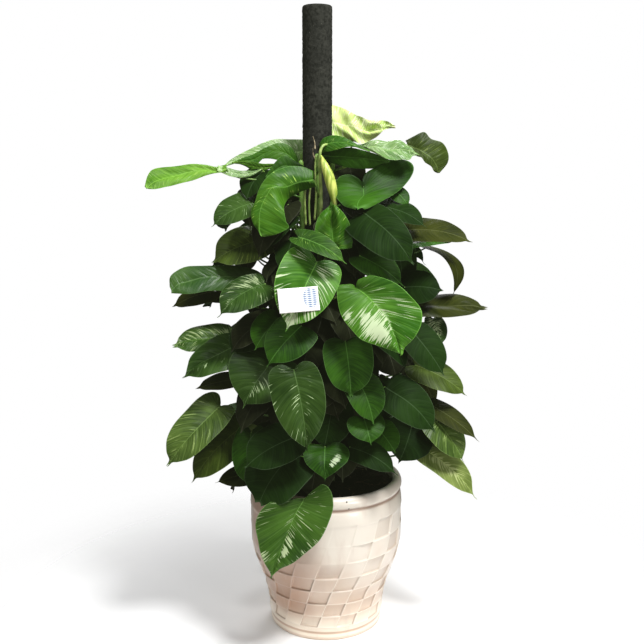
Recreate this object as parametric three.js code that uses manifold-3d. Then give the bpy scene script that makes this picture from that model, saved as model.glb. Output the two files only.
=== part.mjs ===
// A variegated pothos trained up a black fibre-wrapped pole in a white glazed pot.
// Millimetres, +Z up. The origin is the middle of the pot's underside, and -Y is the show side.
import * as THREE from 'three';
import { mergeVertices } from 'three/addons/utils/BufferGeometryUtils.js';
import Module from 'manifold-3d';

const wasm = await Module();
wasm.setup();

// ---- Driving dimensions ------------------------------------------------------------------------

const TOTAL_HEIGHT = 1500;
const GAP = 0.3; // room left between pieces that touch
const WELD = 1e-3; // corners this near are one

const POT_HEIGHT = 377;
const POT_RIM_RADIUS = 188;
const POT_WALL = 12;
const POT_FLOOR = 16;
const POT_SIDES = 28;
const DRAIN_RADIUS = 9;
const DRAIN_COUNT = 3;
const DRAIN_CIRCLE = 75;
const HOLE_SIDES = 12;

const SOIL_TOP = 360;

const POLE_X = -21; // the pole stands a little left of the pot's middle
const POLE_FOOT = 60;
const POLE_RADIUS = 35;
const PIPE_RADIUS = 20;
const PIPE_BORE = 17;
const POLE_CROWN = 4; // rounding of the sleeve's top edge

const STEM_RADIUS = 6.5;
const STEM_FOOT = 325;
const STEM_HOLE = STEM_RADIUS + 2 * GAP;
const STEM_SIDES = 10;

const PETIOLE_RADIUS = 2.2;
const STALK_GAP = 1; // at the middle of a stalk's slanting foot, whose upper edge all but meets the stem
const STALK_LEAVE = 0.35; // of its span: how far a stalk runs straight out of the stem
const STALK_CLIMB = 0.12; // of its span: how far it climbs on that stretch
const STALK_ARRIVE = 0.22; // of its span: how far behind the blade it turns to meet it
const PETIOLE_SIDES = 5;
const PETIOLE_STEPS = 5;
const BLADE_THICKNESS = 1.2;
const EDGE_CURL = 0.14; // how fast a blade's halves droop towards their edges
const ARCH_START = 0.8; // the midrib's arch is a little flatter at the base
const ARCH_GAIN = 0.4; // and steeper at the tip

const CARD = [90, 54, 0.6];

// Where each stem climbs, seen from above: degrees from the show side towards +X, and its top.
const STEMS = [
  { name: 'stem_front', angle: 4, top: 1165 },
  { name: 'stem_front_right', angle: 62, top: 1190 },
  { name: 'stem_back_right', angle: 118, top: 1145 },
  { name: 'stem_back', angle: 180, top: 1255 },
  { name: 'stem_back_left', angle: 242, top: 1170 },
  { name: 'stem_front_left', angle: 298, top: 1150 },
];

// One half of a blade's outline, base to tip: the place along the midrib where a side vein starts,
// then where it meets the edge, across as a part of half the width, along as a part of the length.
const OUTLINE = [
  [0.00, 0.12, -0.05],
  [0.01, 0.50, -0.12],
  [0.05, 0.90, 0.02],
  [0.19, 1.00, 0.30],
  [0.38, 0.91, 0.55],
  [0.60, 0.64, 0.77],
  [0.80, 0.28, 0.915],
  [1.00, 0.012, 0.998],
];

// The leaves of the show side and the flanks. joint is where the petiole meets the blade, tip is its
// point. turn and lift aim the upper face: turn in degrees from -Y towards +X, lift above level.
// arch is the midrib's rise as a part of the length, fold the tilt of each half in degrees, and rise
// is how far the joint stands above the place on the stem where the petiole starts.
const LEAVES = [
  // name, joint, tip, width, turn, lift, arch, fold, rise
  ['leaf_top_far_left', [-240, -60, 1125], [-415, -90, 1085], 110, -10, 66, 0.05, 8, 40],
  ['leaf_top_left', [-70, 62, 1168], [-235, 10, 1135], 90, -20, 45, 0.16, 8, 40],
  ['leaf_top_front_left', [-45, -75, 1108], [-147, -142, 982], 130, -50, 35, 0.24, 10, 40],
  ['leaf_cream', [-48, 68, 1243], [155, 32, 1230], 95, 5, 5, 0.04, 6, 35],
  ['leaf_top_right', [65, -42, 1170], [230, -50, 1145], 55, 10, 45, 0.12, 8, 40],
  ['leaf_top_right_end', [215, -20, 1182], [260, -30, 1120], 84, 15, 5, 0.20, 5, 60],
  ['leaf_heart_top', [100, -75, 1112], [60, -205, 1040], 195, -28, 58, 0.10, 10, 50],
  ['leaf_mottled_front', [17, -135, 954], [10, -120, 1054], 86, 0, 10, 0.12, 16, 50],
  ['leaf_dark_right', [85, -120, 1032], [188, -190, 928], 108, 0, 30, 0.12, 8, 60],
  ['leaf_olive_right', [190, -50, 990], [330, -90, 965], 85, 20, 45, 0.08, 8, 60],
  ['leaf_edge_droop', [241, -10, 945], [297, -60, 832], 80, 56, 10, 0.32, 10, 60],
  ['leaf_flat_right', [205, -40, 808], [370, -80, 808], 95, 15, 58, 0.05, 8, 60],
  ['leaf_left_high', [-172, -60, 1052], [-260, -90, 1001], 92, -25, 35, 0.12, 8, 60],
  ['leaf_left_olive', [-152, -30, 964], [-263, -60, 915], 118, -25, 35, 0.08, 8, 60],
  ['leaf_left_long', [-165, -50, 866], [-365, -90, 845], 110, -15, 55, 0.08, 8, 60],
  ['leaf_left_marbled', [-140, -130, 872], [-240, -175, 805], 112, -25, 42, 0.12, 8, 60],
  ['leaf_card', [-21, -165, 926], [-87, -225, 785], 142, 18, 28, 0.10, 14, 50],
  ['leaf_big_streaked', [67, -190, 868], [161, -255, 731], 165, 15, 25, 0.10, 16, 60],
  ['leaf_centre_low', [-57, -165, 781], [-130, -208, 700], 108, -10, 30, 0.10, 8, 60],
  ['leaf_right_a', [199, -130, 761], [266, -160, 669], 88, 15, 25, 0.10, 8, 60],
  ['leaf_right_b', [215, -50, 665], [330, -80, 600], 90, 25, 40, 0.08, 8, 60],
  ['leaf_right_c', [134, -160, 638], [243, -200, 546], 104, 10, 35, 0.12, 8, 60],
  ['leaf_centre_tip', [43, -165, 745], [55, -200, 630], 115, 5, 25, 0.12, 10, 60],
  ['leaf_centre_b', [70, -165, 658], [105, -210, 568], 88, 5, 30, 0.12, 10, 60],
  ['leaf_streaked_front', [-72, -232, 694], [-43, -268, 521], 120, 0, 20, 0.08, 10, 110],
  ['leaf_left_mid', [-115, -138, 701], [-187, -188, 599], 168, -10, 30, 0.10, 8, 60],
  ['leaf_left_tail', [-198, -84, 724], [-328, -128, 655], 105, -25, 40, 0.10, 6, 60],
  ['leaf_left_streak', [-225, -30, 732], [-360, -60, 714], 84, -20, 45, 0.06, 6, 60],
  ['leaf_left_ribbed', [-250, -110, 580], [-365, -160, 455], 112, -20, 35, 0.10, 10, 60],
  ['leaf_left_low', [-200, -70, 520], [-315, -120, 400], 115, -25, 35, 0.08, 8, 60],
  ['leaf_low_left', [-75, -190, 527], [-180, -225, 470], 115, -15, 45, 0.10, 8, 60],
  ['leaf_over_rim', [-46, -222, 395], [-124, -245, 212], 160, -5, 12, 0.08, 10, 30],
  ['leaf_low_centre', [-3, -165, 497], [-3, -218, 431], 108, 0, 35, 0.12, 12, 60],
  ['leaf_low_right', [55, -150, 492], [159, -195, 442], 72, 10, 45, 0.10, 8, 50],
  ['leaf_marbled_low', [230, -70, 465], [355, -110, 355], 85, 30, 35, 0.08, 8, 60],
];

// The leaves of the back, set out round the pole: angle in degrees from the show side towards +X,
// reach of the joint from the pole's middle, height, droop below level, yaw, length, width, rise.
const BACK_LEAVES = [
  [160, 120, 1120, 35, 10, 150, 130, 50],
  [118, 150, 1030, 40, -15, 160, 140, 60],
  [205, 155, 1035, 38, 12, 165, 140, 60],
  [165, 165, 930, 45, -10, 170, 145, 60],
  [243, 170, 935, 38, 15, 160, 135, 60],
  [122, 180, 825, 42, 12, 165, 140, 60],
  [198, 175, 820, 46, -12, 170, 145, 60],
  [155, 185, 715, 44, 14, 170, 145, 60],
  [232, 185, 710, 42, -14, 165, 140, 60],
  [112, 185, 605, 45, -12, 160, 135, 60],
  [186, 190, 600, 48, 10, 170, 145, 60],
  [143, 175, 500, 42, 12, 160, 135, 60],
  [218, 180, 495, 42, -10, 160, 140, 60],
  [255, 170, 440, 30, 12, 150, 125, 50],
];
const BACK_LEAF = { lift: 45, arch: 0.12, fold: 9 };

// ---- Small tools -------------------------------------------------------------------------------

const radians = THREE.MathUtils.degToRad;
const vector = (x, y, z) => new THREE.Vector3(x, y, z);

// A level direction at an angle measured from the show side towards +X.
function bearing(degrees) {
  return vector(Math.sin(radians(degrees)), -Math.cos(radians(degrees)), 0);
}

function solidOf(geometry) {
  const bare = geometry.clone();
  bare.deleteAttribute('normal');
  bare.deleteAttribute('uv');
  const merged = mergeVertices(bare, WELD);
  return new wasm.Manifold(new wasm.Mesh({
    numProp: 3,
    vertProperties: new Float32Array(merged.attributes.position.array),
    triVerts: new Uint32Array(merged.index.array),
  }));
}

function geometryOf(solid) {
  const mesh = solid.getMesh();
  const geometry = new THREE.BufferGeometry();
  geometry.setAttribute('position', new THREE.BufferAttribute(new Float32Array(mesh.vertProperties), 3));
  geometry.setIndex(new THREE.BufferAttribute(new Uint32Array(mesh.triVerts), 1));
  geometry.computeVertexNormals();
  return geometry;
}

// A closed profile of [radius, height] points, turned about the vertical line at x.
function turned(profile, sides, x = 0) {
  const points = profile.map(([radius, height]) => new THREE.Vector2(radius, height));
  const geometry = new THREE.LatheGeometry(points, sides);
  geometry.rotateX(Math.PI / 2);
  geometry.translate(x, 0, 0);
  geometry.deleteAttribute('normal');
  geometry.deleteAttribute('uv');
  return withoutFlatFaces(mergeVertices(geometry, WELD));
}

// Turning a profile about the axis leaves faces with no area where a point lies on the axis.
function withoutFlatFaces(geometry) {
  const kept = [];
  const index = geometry.index.array;
  for (let i = 0; i < index.length; i += 3) {
    const [a, b, c] = [index[i], index[i + 1], index[i + 2]];
    if (a !== b && b !== c && c !== a) kept.push(a, b, c);
  }
  geometry.setIndex(kept);
  geometry.computeVertexNormals();
  return geometry;
}

// A round rod along a curve.
function rod(curve, radius, sides, steps) {
  const section = new THREE.Shape();
  for (let i = 0; i < sides; i += 1) {
    const angle = (2 * Math.PI * i) / sides;
    const point = [radius * Math.cos(angle), radius * Math.sin(angle)];
    if (i === 0) section.moveTo(...point);
    else section.lineTo(...point);
  }
  section.closePath();
  return new THREE.ExtrudeGeometry(section, { steps, extrudePath: curve });
}

// An upright cylinder on a spot, for cutting a hole.
function plug(radius, spot, height) {
  const cylinder = new THREE.CylinderGeometry(radius, radius, height, HOLE_SIDES);
  cylinder.rotateX(Math.PI / 2);
  cylinder.translate(spot.x, spot.y, spot.z + height / 2);
  return solidOf(cylinder);
}

const part = new THREE.Group();

function addPiece(name, geometry, material) {
  const mesh = new THREE.Mesh(geometry, material);
  mesh.name = name;
  part.add(mesh);
}

// ---- Pot ---------------------------------------------------------------------------------------

// Outer face of the pot, foot to rim: a ringed foot, a swelling body, a plain collar, a groove and
// a rolled rim.
const POT_OUTER = [
  [139.5, 0],
  [140.5, 14],
  [138, 19],
  [142.5, 25],
  [143.5, 54],
  [150, 87],
  [157.5, 120],
  [171, 153],
  [181, 185],
  [188, 218],
  [189, 260],
  [188.5, 304],
  [190, 309],
  [188.5, 328],
  [186.5, 340],
  [183, 346],
  [184, 350],
  [POT_RIM_RADIUS, 354],
  [POT_RIM_RADIUS + 1.5, 361],
  [POT_RIM_RADIUS, 369],
  [184, 375],
  [178, POT_HEIGHT],
];

// Inner face, rim to floor.
const POT_INNER = [
  [170, POT_HEIGHT],
  [166, 372],
  [166, 340],
  [189 - POT_WALL, 300],
  [188 - POT_WALL, 218],
  [171 - POT_WALL, 153],
  [150 - POT_WALL, 87],
  [142 - POT_WALL, POT_FLOOR + 10],
  [120, POT_FLOOR],
];

function makePot() {
  const profile = [[0, 0], ...POT_OUTER, ...POT_INNER, [0, POT_FLOOR]];
  let pot = solidOf(turned(profile, POT_SIDES));
  for (let i = 0; i < DRAIN_COUNT; i += 1) {
    const spot = bearing(60 + (360 / DRAIN_COUNT) * i).multiplyScalar(DRAIN_CIRCLE);
    pot = pot.subtract(plug(DRAIN_RADIUS, spot.setZ(-POT_FLOOR), 3 * POT_FLOOR));
  }
  return geometryOf(pot);
}

// ---- Pole --------------------------------------------------------------------------------------

function poleSleeve() {
  return turned([
    [PIPE_RADIUS + GAP, POLE_FOOT],
    [POLE_RADIUS, POLE_FOOT],
    [POLE_RADIUS, TOTAL_HEIGHT - POLE_CROWN],
    [POLE_RADIUS - POLE_CROWN, TOTAL_HEIGHT],
    [0, TOTAL_HEIGHT],
    [0, TOTAL_HEIGHT - 10],
    [PIPE_RADIUS + GAP, TOTAL_HEIGHT - 10],
    [PIPE_RADIUS + GAP, POLE_FOOT],
  ], 32, POLE_X);
}

function polePipe() {
  const top = TOTAL_HEIGHT - 10 - GAP;
  return turned([
    [PIPE_BORE, POLE_FOOT],
    [PIPE_RADIUS, POLE_FOOT],
    [PIPE_RADIUS, top],
    [PIPE_BORE, top],
    [PIPE_BORE, POLE_FOOT],
  ], 20, POLE_X);
}

// ---- Stems -------------------------------------------------------------------------------------

const STEM_DISTANCE = POLE_RADIUS + GAP + STEM_RADIUS;
const STEM_SWAY = 4; // degrees that a climbing stem wanders round the pole
const STEM_WAVE = 440; // height of one wander

// The middle of a stem at a height. Below the lowest leaves it stands straight.
function stemAt(stem, height) {
  const climb = Math.max(0, height - SOIL_TOP - 20);
  const angle = stem.angle + STEM_SWAY * Math.sin((2 * Math.PI * climb) / STEM_WAVE);
  return bearing(angle).multiplyScalar(STEM_DISTANCE).add(vector(POLE_X, 0, height));
}

function stemCurve(stem) {
  const points = [];
  const count = Math.round((stem.top - STEM_FOOT) / 55);
  for (let i = 0; i <= count; i += 1) {
    points.push(stemAt(stem, STEM_FOOT + ((stem.top - STEM_FOOT) * i) / count));
  }
  return new THREE.CatmullRomCurve3(points);
}

function stemSteps(stem) {
  return Math.round((stem.top - STEM_FOOT) / 55);
}

// ---- Soil --------------------------------------------------------------------------------------

function makeSoil() {
  const wall = POT_INNER.filter(([, height]) => height < 345)
    .map(([radius, height]) => [radius - GAP, height + (height === POT_FLOOR ? GAP : 0)]);
  const profile = [
    [0, POT_FLOOR + GAP],
    ...wall.reverse(),
    [166 - GAP, SOIL_TOP - 4],
    [150, SOIL_TOP],
    [0, SOIL_TOP + 4],
  ];
  let soil = solidOf(turned(profile, POT_SIDES));
  const bore = turned([
    [0, POLE_FOOT - GAP],
    [POLE_RADIUS + GAP, POLE_FOOT - GAP],
    [POLE_RADIUS + GAP, SOIL_TOP + 40],
    [0, SOIL_TOP + 40],
  ], 32, POLE_X);
  soil = soil.subtract(solidOf(bore));
  for (const stem of STEMS) {
    const foot = stemAt(stem, STEM_FOOT - GAP);
    soil = soil.subtract(plug(STEM_HOLE, foot, 2 * (SOIL_TOP - STEM_FOOT)));
  }
  return geometryOf(soil);
}

// ---- Leaves ------------------------------------------------------------------------------------

// The blade's own axes: along from joint to tip, face out of its upper side, side across it.
function bladeAxes(leaf) {
  const chord = leaf.tip.clone().sub(leaf.joint);
  const length = chord.length();
  const along = chord.divideScalar(length);
  const aim = bearing(leaf.turn).multiplyScalar(Math.cos(radians(leaf.lift)));
  aim.z = Math.sin(radians(leaf.lift));
  const face = aim.clone().addScaledVector(along, -aim.dot(along)).normalize();
  const side = along.clone().cross(face);
  return { length, along, face, side };
}

// A point of the blade: u along the midrib as a part of the length, v across it in mm.
// The midrib arches towards the face, and each half first rises by the fold and then curls down.
function bladePoint(leaf, axes, u, v, lift) {
  const { length, along, face, side } = axes;
  const inside = Math.min(Math.max(u, 0), 1);
  const bow = 4 * leaf.arch * length;
  const hump = inside * (1 - inside);
  const gain = ARCH_START + ARCH_GAIN * inside;
  const slope = bow * ((1 - 2 * inside) * gain + hump * ARCH_GAIN);
  let height = bow * hump * gain;
  if (u < 0) height += slope * u;
  const normal = face.clone().multiplyScalar(length).addScaledVector(along, -slope).normalize();
  const fold = radians(leaf.fold);
  const out = Math.abs(v);
  const rise = out * Math.sin(fold) - (EDGE_CURL * out * out) / (leaf.width / 2);
  return leaf.joint.clone()
    .addScaledVector(along, u * length)
    .addScaledVector(face, height)
    .addScaledVector(side, v * Math.cos(fold))
    .addScaledVector(normal, rise + lift);
}

// A thin closed blade: rows from left edge over the midrib to right edge, on both faces.
function bladeGeometry(leaf, axes) {
  const half = leaf.width / 2;
  const rows = OUTLINE.length;
  const positions = [];
  for (const lift of [BLADE_THICKNESS / 2, -BLADE_THICKNESS / 2]) {
    for (const [start, across, reach] of OUTLINE) {
      for (const [u, v] of [[reach, -across * half], [start, 0], [reach, across * half]]) {
        positions.push(...bladePoint(leaf, axes, u, v, lift).toArray());
      }
    }
  }
  const top = (row, column) => row * 3 + column;
  const under = (row, column) => (rows + row) * 3 + column;
  const index = [];
  const quad = (a, b, c, d) => index.push(a, b, c, a, c, d);
  for (let row = 0; row < rows - 1; row += 1) {
    for (let column = 0; column < 2; column += 1) {
      quad(top(row, column), top(row, column + 1), top(row + 1, column + 1), top(row + 1, column));
      quad(under(row, column), under(row + 1, column), under(row + 1, column + 1), under(row, column + 1));
    }
    quad(top(row, 0), top(row + 1, 0), under(row + 1, 0), under(row, 0));
    quad(top(row, 2), under(row, 2), under(row + 1, 2), top(row + 1, 2));
  }
  for (let column = 0; column < 2; column += 1) {
    quad(top(0, column), under(0, column), under(0, column + 1), top(0, column + 1));
    const last = rows - 1;
    quad(top(last, column), top(last, column + 1), under(last, column + 1), under(last, column));
  }
  const geometry = new THREE.BufferGeometry();
  geometry.setAttribute('position', new THREE.BufferAttribute(new Float32Array(positions), 3));
  geometry.setIndex(index);
  return geometry;
}

function nearestStem(leaf) {
  const angleOf = Math.atan2(leaf.joint.x - POLE_X, -leaf.joint.y);
  const off = (stem) => Math.cos(angleOf - radians(stem.angle));
  return STEMS.reduce((best, stem) => (off(stem) > off(best) ? stem : best));
}

// The leaf stalk: it leaves its stem at a node, bows outwards and meets the blade from behind.
function petioleCurve(leaf, axes) {
  const stem = nearestStem(leaf);
  const node = stemAt(stem, Math.min(leaf.joint.z - leaf.rise, stem.top - 2 * STEM_RADIUS));
  const outward = vector(node.x - POLE_X, node.y, 0).normalize();
  const start = node.clone().addScaledVector(outward, STEM_RADIUS + STALK_GAP);
  const span = start.distanceTo(leaf.joint);
  const leave = start.clone().addScaledVector(outward, span * STALK_LEAVE);
  leave.z += span * STALK_CLIMB;
  const arrive = leaf.joint.clone().addScaledVector(axes.face, -span * STALK_ARRIVE);
  return new THREE.CubicBezierCurve3(start, leave, arrive, leaf.joint);
}

function leafGeometry(leaf) {
  const axes = bladeAxes(leaf);
  const stalk = rod(petioleCurve(leaf, axes), PETIOLE_RADIUS, PETIOLE_SIDES, PETIOLE_STEPS);
  return geometryOf(solidOf(bladeGeometry(leaf, axes)).add(solidOf(stalk)));
}

function frontLeaf([name, joint, tip, width, turn, lift, arch, fold, rise]) {
  return { name, joint: vector(...joint), tip: vector(...tip), width, turn, lift, arch, fold, rise };
}

function backLeaf([angle, reach, height, droop, yaw, length, width, rise], number) {
  const joint = bearing(angle).multiplyScalar(reach).add(vector(POLE_X, 0, height));
  const run = bearing(angle + yaw).multiplyScalar(length * Math.cos(radians(droop)));
  run.z = -length * Math.sin(radians(droop));
  return {
    name: `leaf_back_${number + 1}`,
    joint,
    tip: joint.clone().add(run),
    width,
    turn: angle,
    rise,
    ...BACK_LEAF,
  };
}

// ---- Label card --------------------------------------------------------------------------------

// A blank card lies against one leaf, a little in front of its midrib.
const CARD_SPOT = { along: 0.61, across: 5, stand: 6.9 };
const CARD_ROLL = 3;

function cardMesh(leaf, material) {
  const axes = bladeAxes(leaf);
  const middle = bladePoint(leaf, axes, CARD_SPOT.along, CARD_SPOT.across, CARD_SPOT.stand);
  const mesh = new THREE.Mesh(new THREE.BoxGeometry(...CARD), material);
  const level = vector(0, 0, 1).cross(axes.face).normalize();
  const up = axes.face.clone().cross(level);
  mesh.quaternion.setFromRotationMatrix(new THREE.Matrix4().makeBasis(level, up, axes.face));
  mesh.rotateZ(radians(CARD_ROLL));
  mesh.position.copy(middle);
  mesh.name = 'label_card';
  return mesh;
}

// ---- Materials and assembly --------------------------------------------------------------------

const finish = (color, roughness) => new THREE.MeshStandardMaterial({ color, roughness, metalness: 0 });
const MATERIALS = {
  glaze: finish(0xe9e2d8, 0.3),
  soil: finish(0x1d1814, 0.95),
  sleeve: finish(0x2c2d29, 0.95),
  pipe: finish(0x9a9a96, 0.5),
  stem: finish(0x5d7a35, 0.6),
  leaf: finish(0x3c6e26, 0.35),
  card: finish(0xf4f3ee, 0.5),
};

addPiece('pot', makePot(), MATERIALS.glaze);
addPiece('soil', makeSoil(), MATERIALS.soil);
addPiece('pole_pipe', polePipe(), MATERIALS.pipe);
addPiece('pole_sleeve', poleSleeve(), MATERIALS.sleeve);
for (const stem of STEMS) {
  addPiece(stem.name, rod(stemCurve(stem), STEM_RADIUS, STEM_SIDES, stemSteps(stem)), MATERIALS.stem);
}
const leaves = [...LEAVES.map(frontLeaf), ...BACK_LEAVES.map(backLeaf)];
for (const leaf of leaves) addPiece(leaf.name, leafGeometry(leaf), MATERIALS.leaf);
part.add(cardMesh(leaves.find((leaf) => leaf.name === 'leaf_card'), MATERIALS.card));

export default part;
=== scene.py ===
import functools
import math
import random

import bpy
import numpy as np
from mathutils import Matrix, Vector, noise
from mathutils.bvhtree import BVHTree


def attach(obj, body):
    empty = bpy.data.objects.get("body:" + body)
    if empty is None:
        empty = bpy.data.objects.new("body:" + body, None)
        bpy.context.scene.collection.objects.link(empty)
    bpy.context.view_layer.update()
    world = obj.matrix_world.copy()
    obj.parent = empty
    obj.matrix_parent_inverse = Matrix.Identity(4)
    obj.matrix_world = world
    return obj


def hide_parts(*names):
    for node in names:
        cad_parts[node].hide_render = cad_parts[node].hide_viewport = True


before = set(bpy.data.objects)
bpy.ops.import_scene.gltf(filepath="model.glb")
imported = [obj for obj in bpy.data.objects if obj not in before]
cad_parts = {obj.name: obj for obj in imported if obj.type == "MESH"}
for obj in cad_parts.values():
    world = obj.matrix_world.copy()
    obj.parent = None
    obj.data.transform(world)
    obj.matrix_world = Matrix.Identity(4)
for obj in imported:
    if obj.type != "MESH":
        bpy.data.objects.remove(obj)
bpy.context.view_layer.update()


# ---- Camera ----------------------------------------------------------------------------------
# A standing person's view of the whole plant from a little over two metres away, at two thirds
# of its height and tilted down, with the pot's foot and the pole's top just inside the frame.

MM = 0.001  # sizes here are in millimetres, meshes in metres
CAMERA_PLACE = (-10, -2180, 1138)
CAMERA_DOWN = 9.8
CAMERA_LENS = 50.7
SENSOR_WIDTH = 36
FLARE = (-0.006, -0.0066, -0.004)  # the lens flares a little, so that nothing is quite black

camera_data = bpy.data.cameras.new("studio_camera")
camera_data.sensor_width = SENSOR_WIDTH
camera_data.lens = CAMERA_LENS
camera_data.clip_end = 20
camera = bpy.data.objects.new("studio_camera", camera_data)
camera.location = Vector(CAMERA_PLACE) * MM
camera.rotation_euler = (math.radians(90 - CAMERA_DOWN), 0, 0)
bpy.context.scene.collection.objects.link(camera)
bpy.context.scene.camera = camera
view = bpy.context.scene.view_settings
view.view_transform = "Standard"
view.use_curve_mapping = True
view.curve_mapping.black_level = FLARE


# ---- Studio ----------------------------------------------------------------------------------
# A plain white floor that fades into a white surround. One big soft lamp hangs in front and
# overhead, with small ceiling lamps round it for the gloss and weak ones at the side and back.

FLOOR_HALF = 3000
FLOOR_FADE = (0.35, 1.1)  # from here to here, in metres, the floor fades out
FLOOR_WHITE = (246, 246, 246)
# The surround is white to look at. What it gives as light, from above and from below, and what
# of it shows in glossy surfaces, are dimmer.
LIGHT_ABOVE = (0.33, 0.33, 0.33)
LIGHT_BELOW = (0.20, 0.14, 0.11)
GLOSS_LIGHT = (0.05, 0.05, 0.05)
LIGHT_BLEND = 0.3  # how far above and below the horizon the two lights pass into each other
# name, place, aimed at, size in metres, power in watts
LAMPS = [
    ("key_lamp", (1.0, -1.4, 3.5), (0, 0, 0.5), 0.8, 122),
    ("ceiling_lamp_left", (-1.2, -1.4, 3.1), (0, 0, 0.6), 0.3, 16),
    ("ceiling_lamp_right", (1.3, -0.4, 3.1), (0, 0, 0.7), 0.3, 12),
    ("pot_lamp", (1.2, -1.5, 0.45), (0.15, 0, 0.37), 0.4, 7.5),
    ("back_lamp", (0.3, 2.6, 2.8), (0, 0, 0.6), 1.2, 50),
]


def srgb(*levels):
    """A colour from its everyday 0 to 255 levels, as the linear values that shaders take."""
    parts = [level / 255 for level in levels]
    return tuple(c / 12.92 if c <= 0.04045 else ((c + 0.055) / 1.055) ** 2.4 for c in parts)


class Wire:
    """A socket in a node tree, on which shader maths is written as Python."""

    def __init__(self, tree, socket=None):
        self.tree = tree
        self.socket = socket

    def make(self, kind, settings=None, values=None, out=0):
        """Adds a node: its type, its settings, the values or links of its sockets, its output."""
        node = self.tree.nodes.new(kind)
        for name, value in (settings or {}).items():
            setattr(node, name, value)
        for name, value in (values or {}).items():
            socket = node.inputs[name]
            if isinstance(value, Wire):
                self.tree.links.new(value.socket, socket)
            elif socket.type == "RGBA":
                socket.default_value = (*value, 1.0)
            else:
                socket.default_value = value
        return Wire(self.tree, node.outputs[out])

    def math(self, operation, *parts):
        return self.make("ShaderNodeMath", {"operation": operation}, dict(enumerate(parts)))

    def curve(self, operation):
        """This number put through a function of one number, such as SINE."""
        return self.math(operation, self)

    def __abs__(self):
        return self.curve("ABSOLUTE")

    def __add__(self, other):
        return self.math("ADD", self, other)

    def __sub__(self, other):
        return self.math("SUBTRACT", self, other)

    def __rsub__(self, other):
        return self.math("SUBTRACT", other, self)

    def __mul__(self, other):
        return self.math("MULTIPLY", self, other)

    def __pow__(self, other):
        return self.math("POWER", self, other)

    __radd__ = __add__
    __rmul__ = __mul__

    def part(self, number):
        """One of a vector's three numbers."""
        return self.make("ShaderNodeSeparateXYZ", {}, {0: self}, number)

    def step(self, low, high):
        """0 at low, 1 at high and smooth between; low may be the higher one."""
        return self.make("ShaderNodeMapRange", {"interpolation_type": "SMOOTHSTEP"},
                         {"Value": self, "From Min": low, "From Max": high})

    def mix(self, first, second):
        """The first colour where this is 0, the second where it is 1."""
        return self.make("ShaderNodeMix", {"data_type": "RGBA"}, {0: self, 6: first, 7: second}, 2)

    def noise(self, scale, detail=2.0, rough=0.5):
        """Cloudy noise at this place."""
        return self.make("ShaderNodeTexNoise", {},
                         {"Vector": self, "Scale": scale, "Detail": detail, "Roughness": rough})

    def stretched(self, x, y, z):
        """This place with its three numbers made larger, each by its own factor."""
        return self.make("ShaderNodeMapping", {}, {"Vector": self, "Scale": (x, y, z)})

    def vector(self, x, y, z):
        return self.make("ShaderNodeCombineXYZ", {}, {0: x, 1: y, 2: z})

    def attribute(self, name, out=1):
        """A mesh attribute: out is 1 for a vector and 2 for a number."""
        return self.make("ShaderNodeAttribute", {"attribute_name": name}, {}, out)

    def place(self):
        """The place on the object, in metres."""
        return self.make("ShaderNodeTexCoord", {}, {}, 3)

    def bump(self, strength, distance):
        """A normal from this height, distance in metres."""
        return self.make("ShaderNodeBump", {},
                         {"Strength": strength, "Distance": distance, "Height": self})

    def into(self, socket):
        self.tree.links.new(self.socket, socket)


def new_material(name, roughness):
    """A material with a Principled shader, a Wire on its tree, and the shader's sockets."""
    material = bpy.data.materials.new(name)
    material.use_nodes = True
    tree = material.node_tree
    shader = next(node for node in tree.nodes if node.type == "BSDF_PRINCIPLED")
    shader.inputs["Roughness"].default_value = roughness
    return material, Wire(tree), shader.inputs


def mesh_object(name, points, faces, material=None, smooth=True):
    """An object from points in millimetres and faces as lists of point numbers."""
    mesh = bpy.data.meshes.new(name)
    mesh.from_pydata((np.asarray(points, dtype=float) * MM).tolist(), [], faces)
    mesh.polygons.foreach_set("use_smooth", [smooth] * len(mesh.polygons))
    if material:
        mesh.materials.append(material)
    mesh.update()
    piece = bpy.data.objects.new(name, mesh)
    bpy.context.scene.collection.objects.link(piece)
    return piece


def floor_material():
    material, wire, shader = new_material("studio_white", 0.9)
    place = wire.place()
    x, y = place.part(0), place.part(1)
    distance = (x * x + y * y) ** 0.5
    shader["Base Color"].default_value = (*srgb(*FLOOR_WHITE), 1)
    distance.step(FLOOR_FADE[1], FLOOR_FADE[0]).into(shader["Alpha"])
    return material


def surround():
    world = bpy.data.worlds.new("surround")
    world.use_nodes = True
    wire = Wire(world.node_tree)
    background = world.node_tree.nodes["Background"]
    seen = wire.make("ShaderNodeLightPath")
    lighting = wire.make("ShaderNodeLightPath", {}, {}, "Is Diffuse Ray")
    height = wire.make("ShaderNodeTexCoord").part(2)
    around = height.step(-LIGHT_BLEND, LIGHT_BLEND).mix(LIGHT_BELOW, LIGHT_ABOVE)
    light = lighting.mix(GLOSS_LIGHT, around)
    seen.mix(light, (1, 1, 1)).into(background.inputs["Color"])
    bpy.context.scene.world = world


def lamp(name, place, target, size, power):
    data = bpy.data.lights.new(name, "AREA")
    data.shape = "DISK"
    data.size = size
    data.energy = power
    light = bpy.data.objects.new(name, data)
    light.location = place
    light.rotation_euler = (Vector(target) - Vector(place)).to_track_quat("-Z", "Y").to_euler()
    bpy.context.scene.collection.objects.link(light)


floor_corners = [(FLOOR_HALF * x, FLOOR_HALF * y, 0)
                 for x, y in ((-1, -1), (1, -1), (1, 1), (-1, 1))]
mesh_object("studio_floor", floor_corners, [(0, 1, 2, 3)], floor_material())
surround()
for row in LAMPS:
    lamp(*row)


# ---- Pot -------------------------------------------------------------------------------------
# A cast ceramic pot under a thick warm-white glaze. Its belly carries a basket relief: rows of
# leaning cells, every other one set back. Above it are a plain collar, a groove and a rolled rim.

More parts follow.
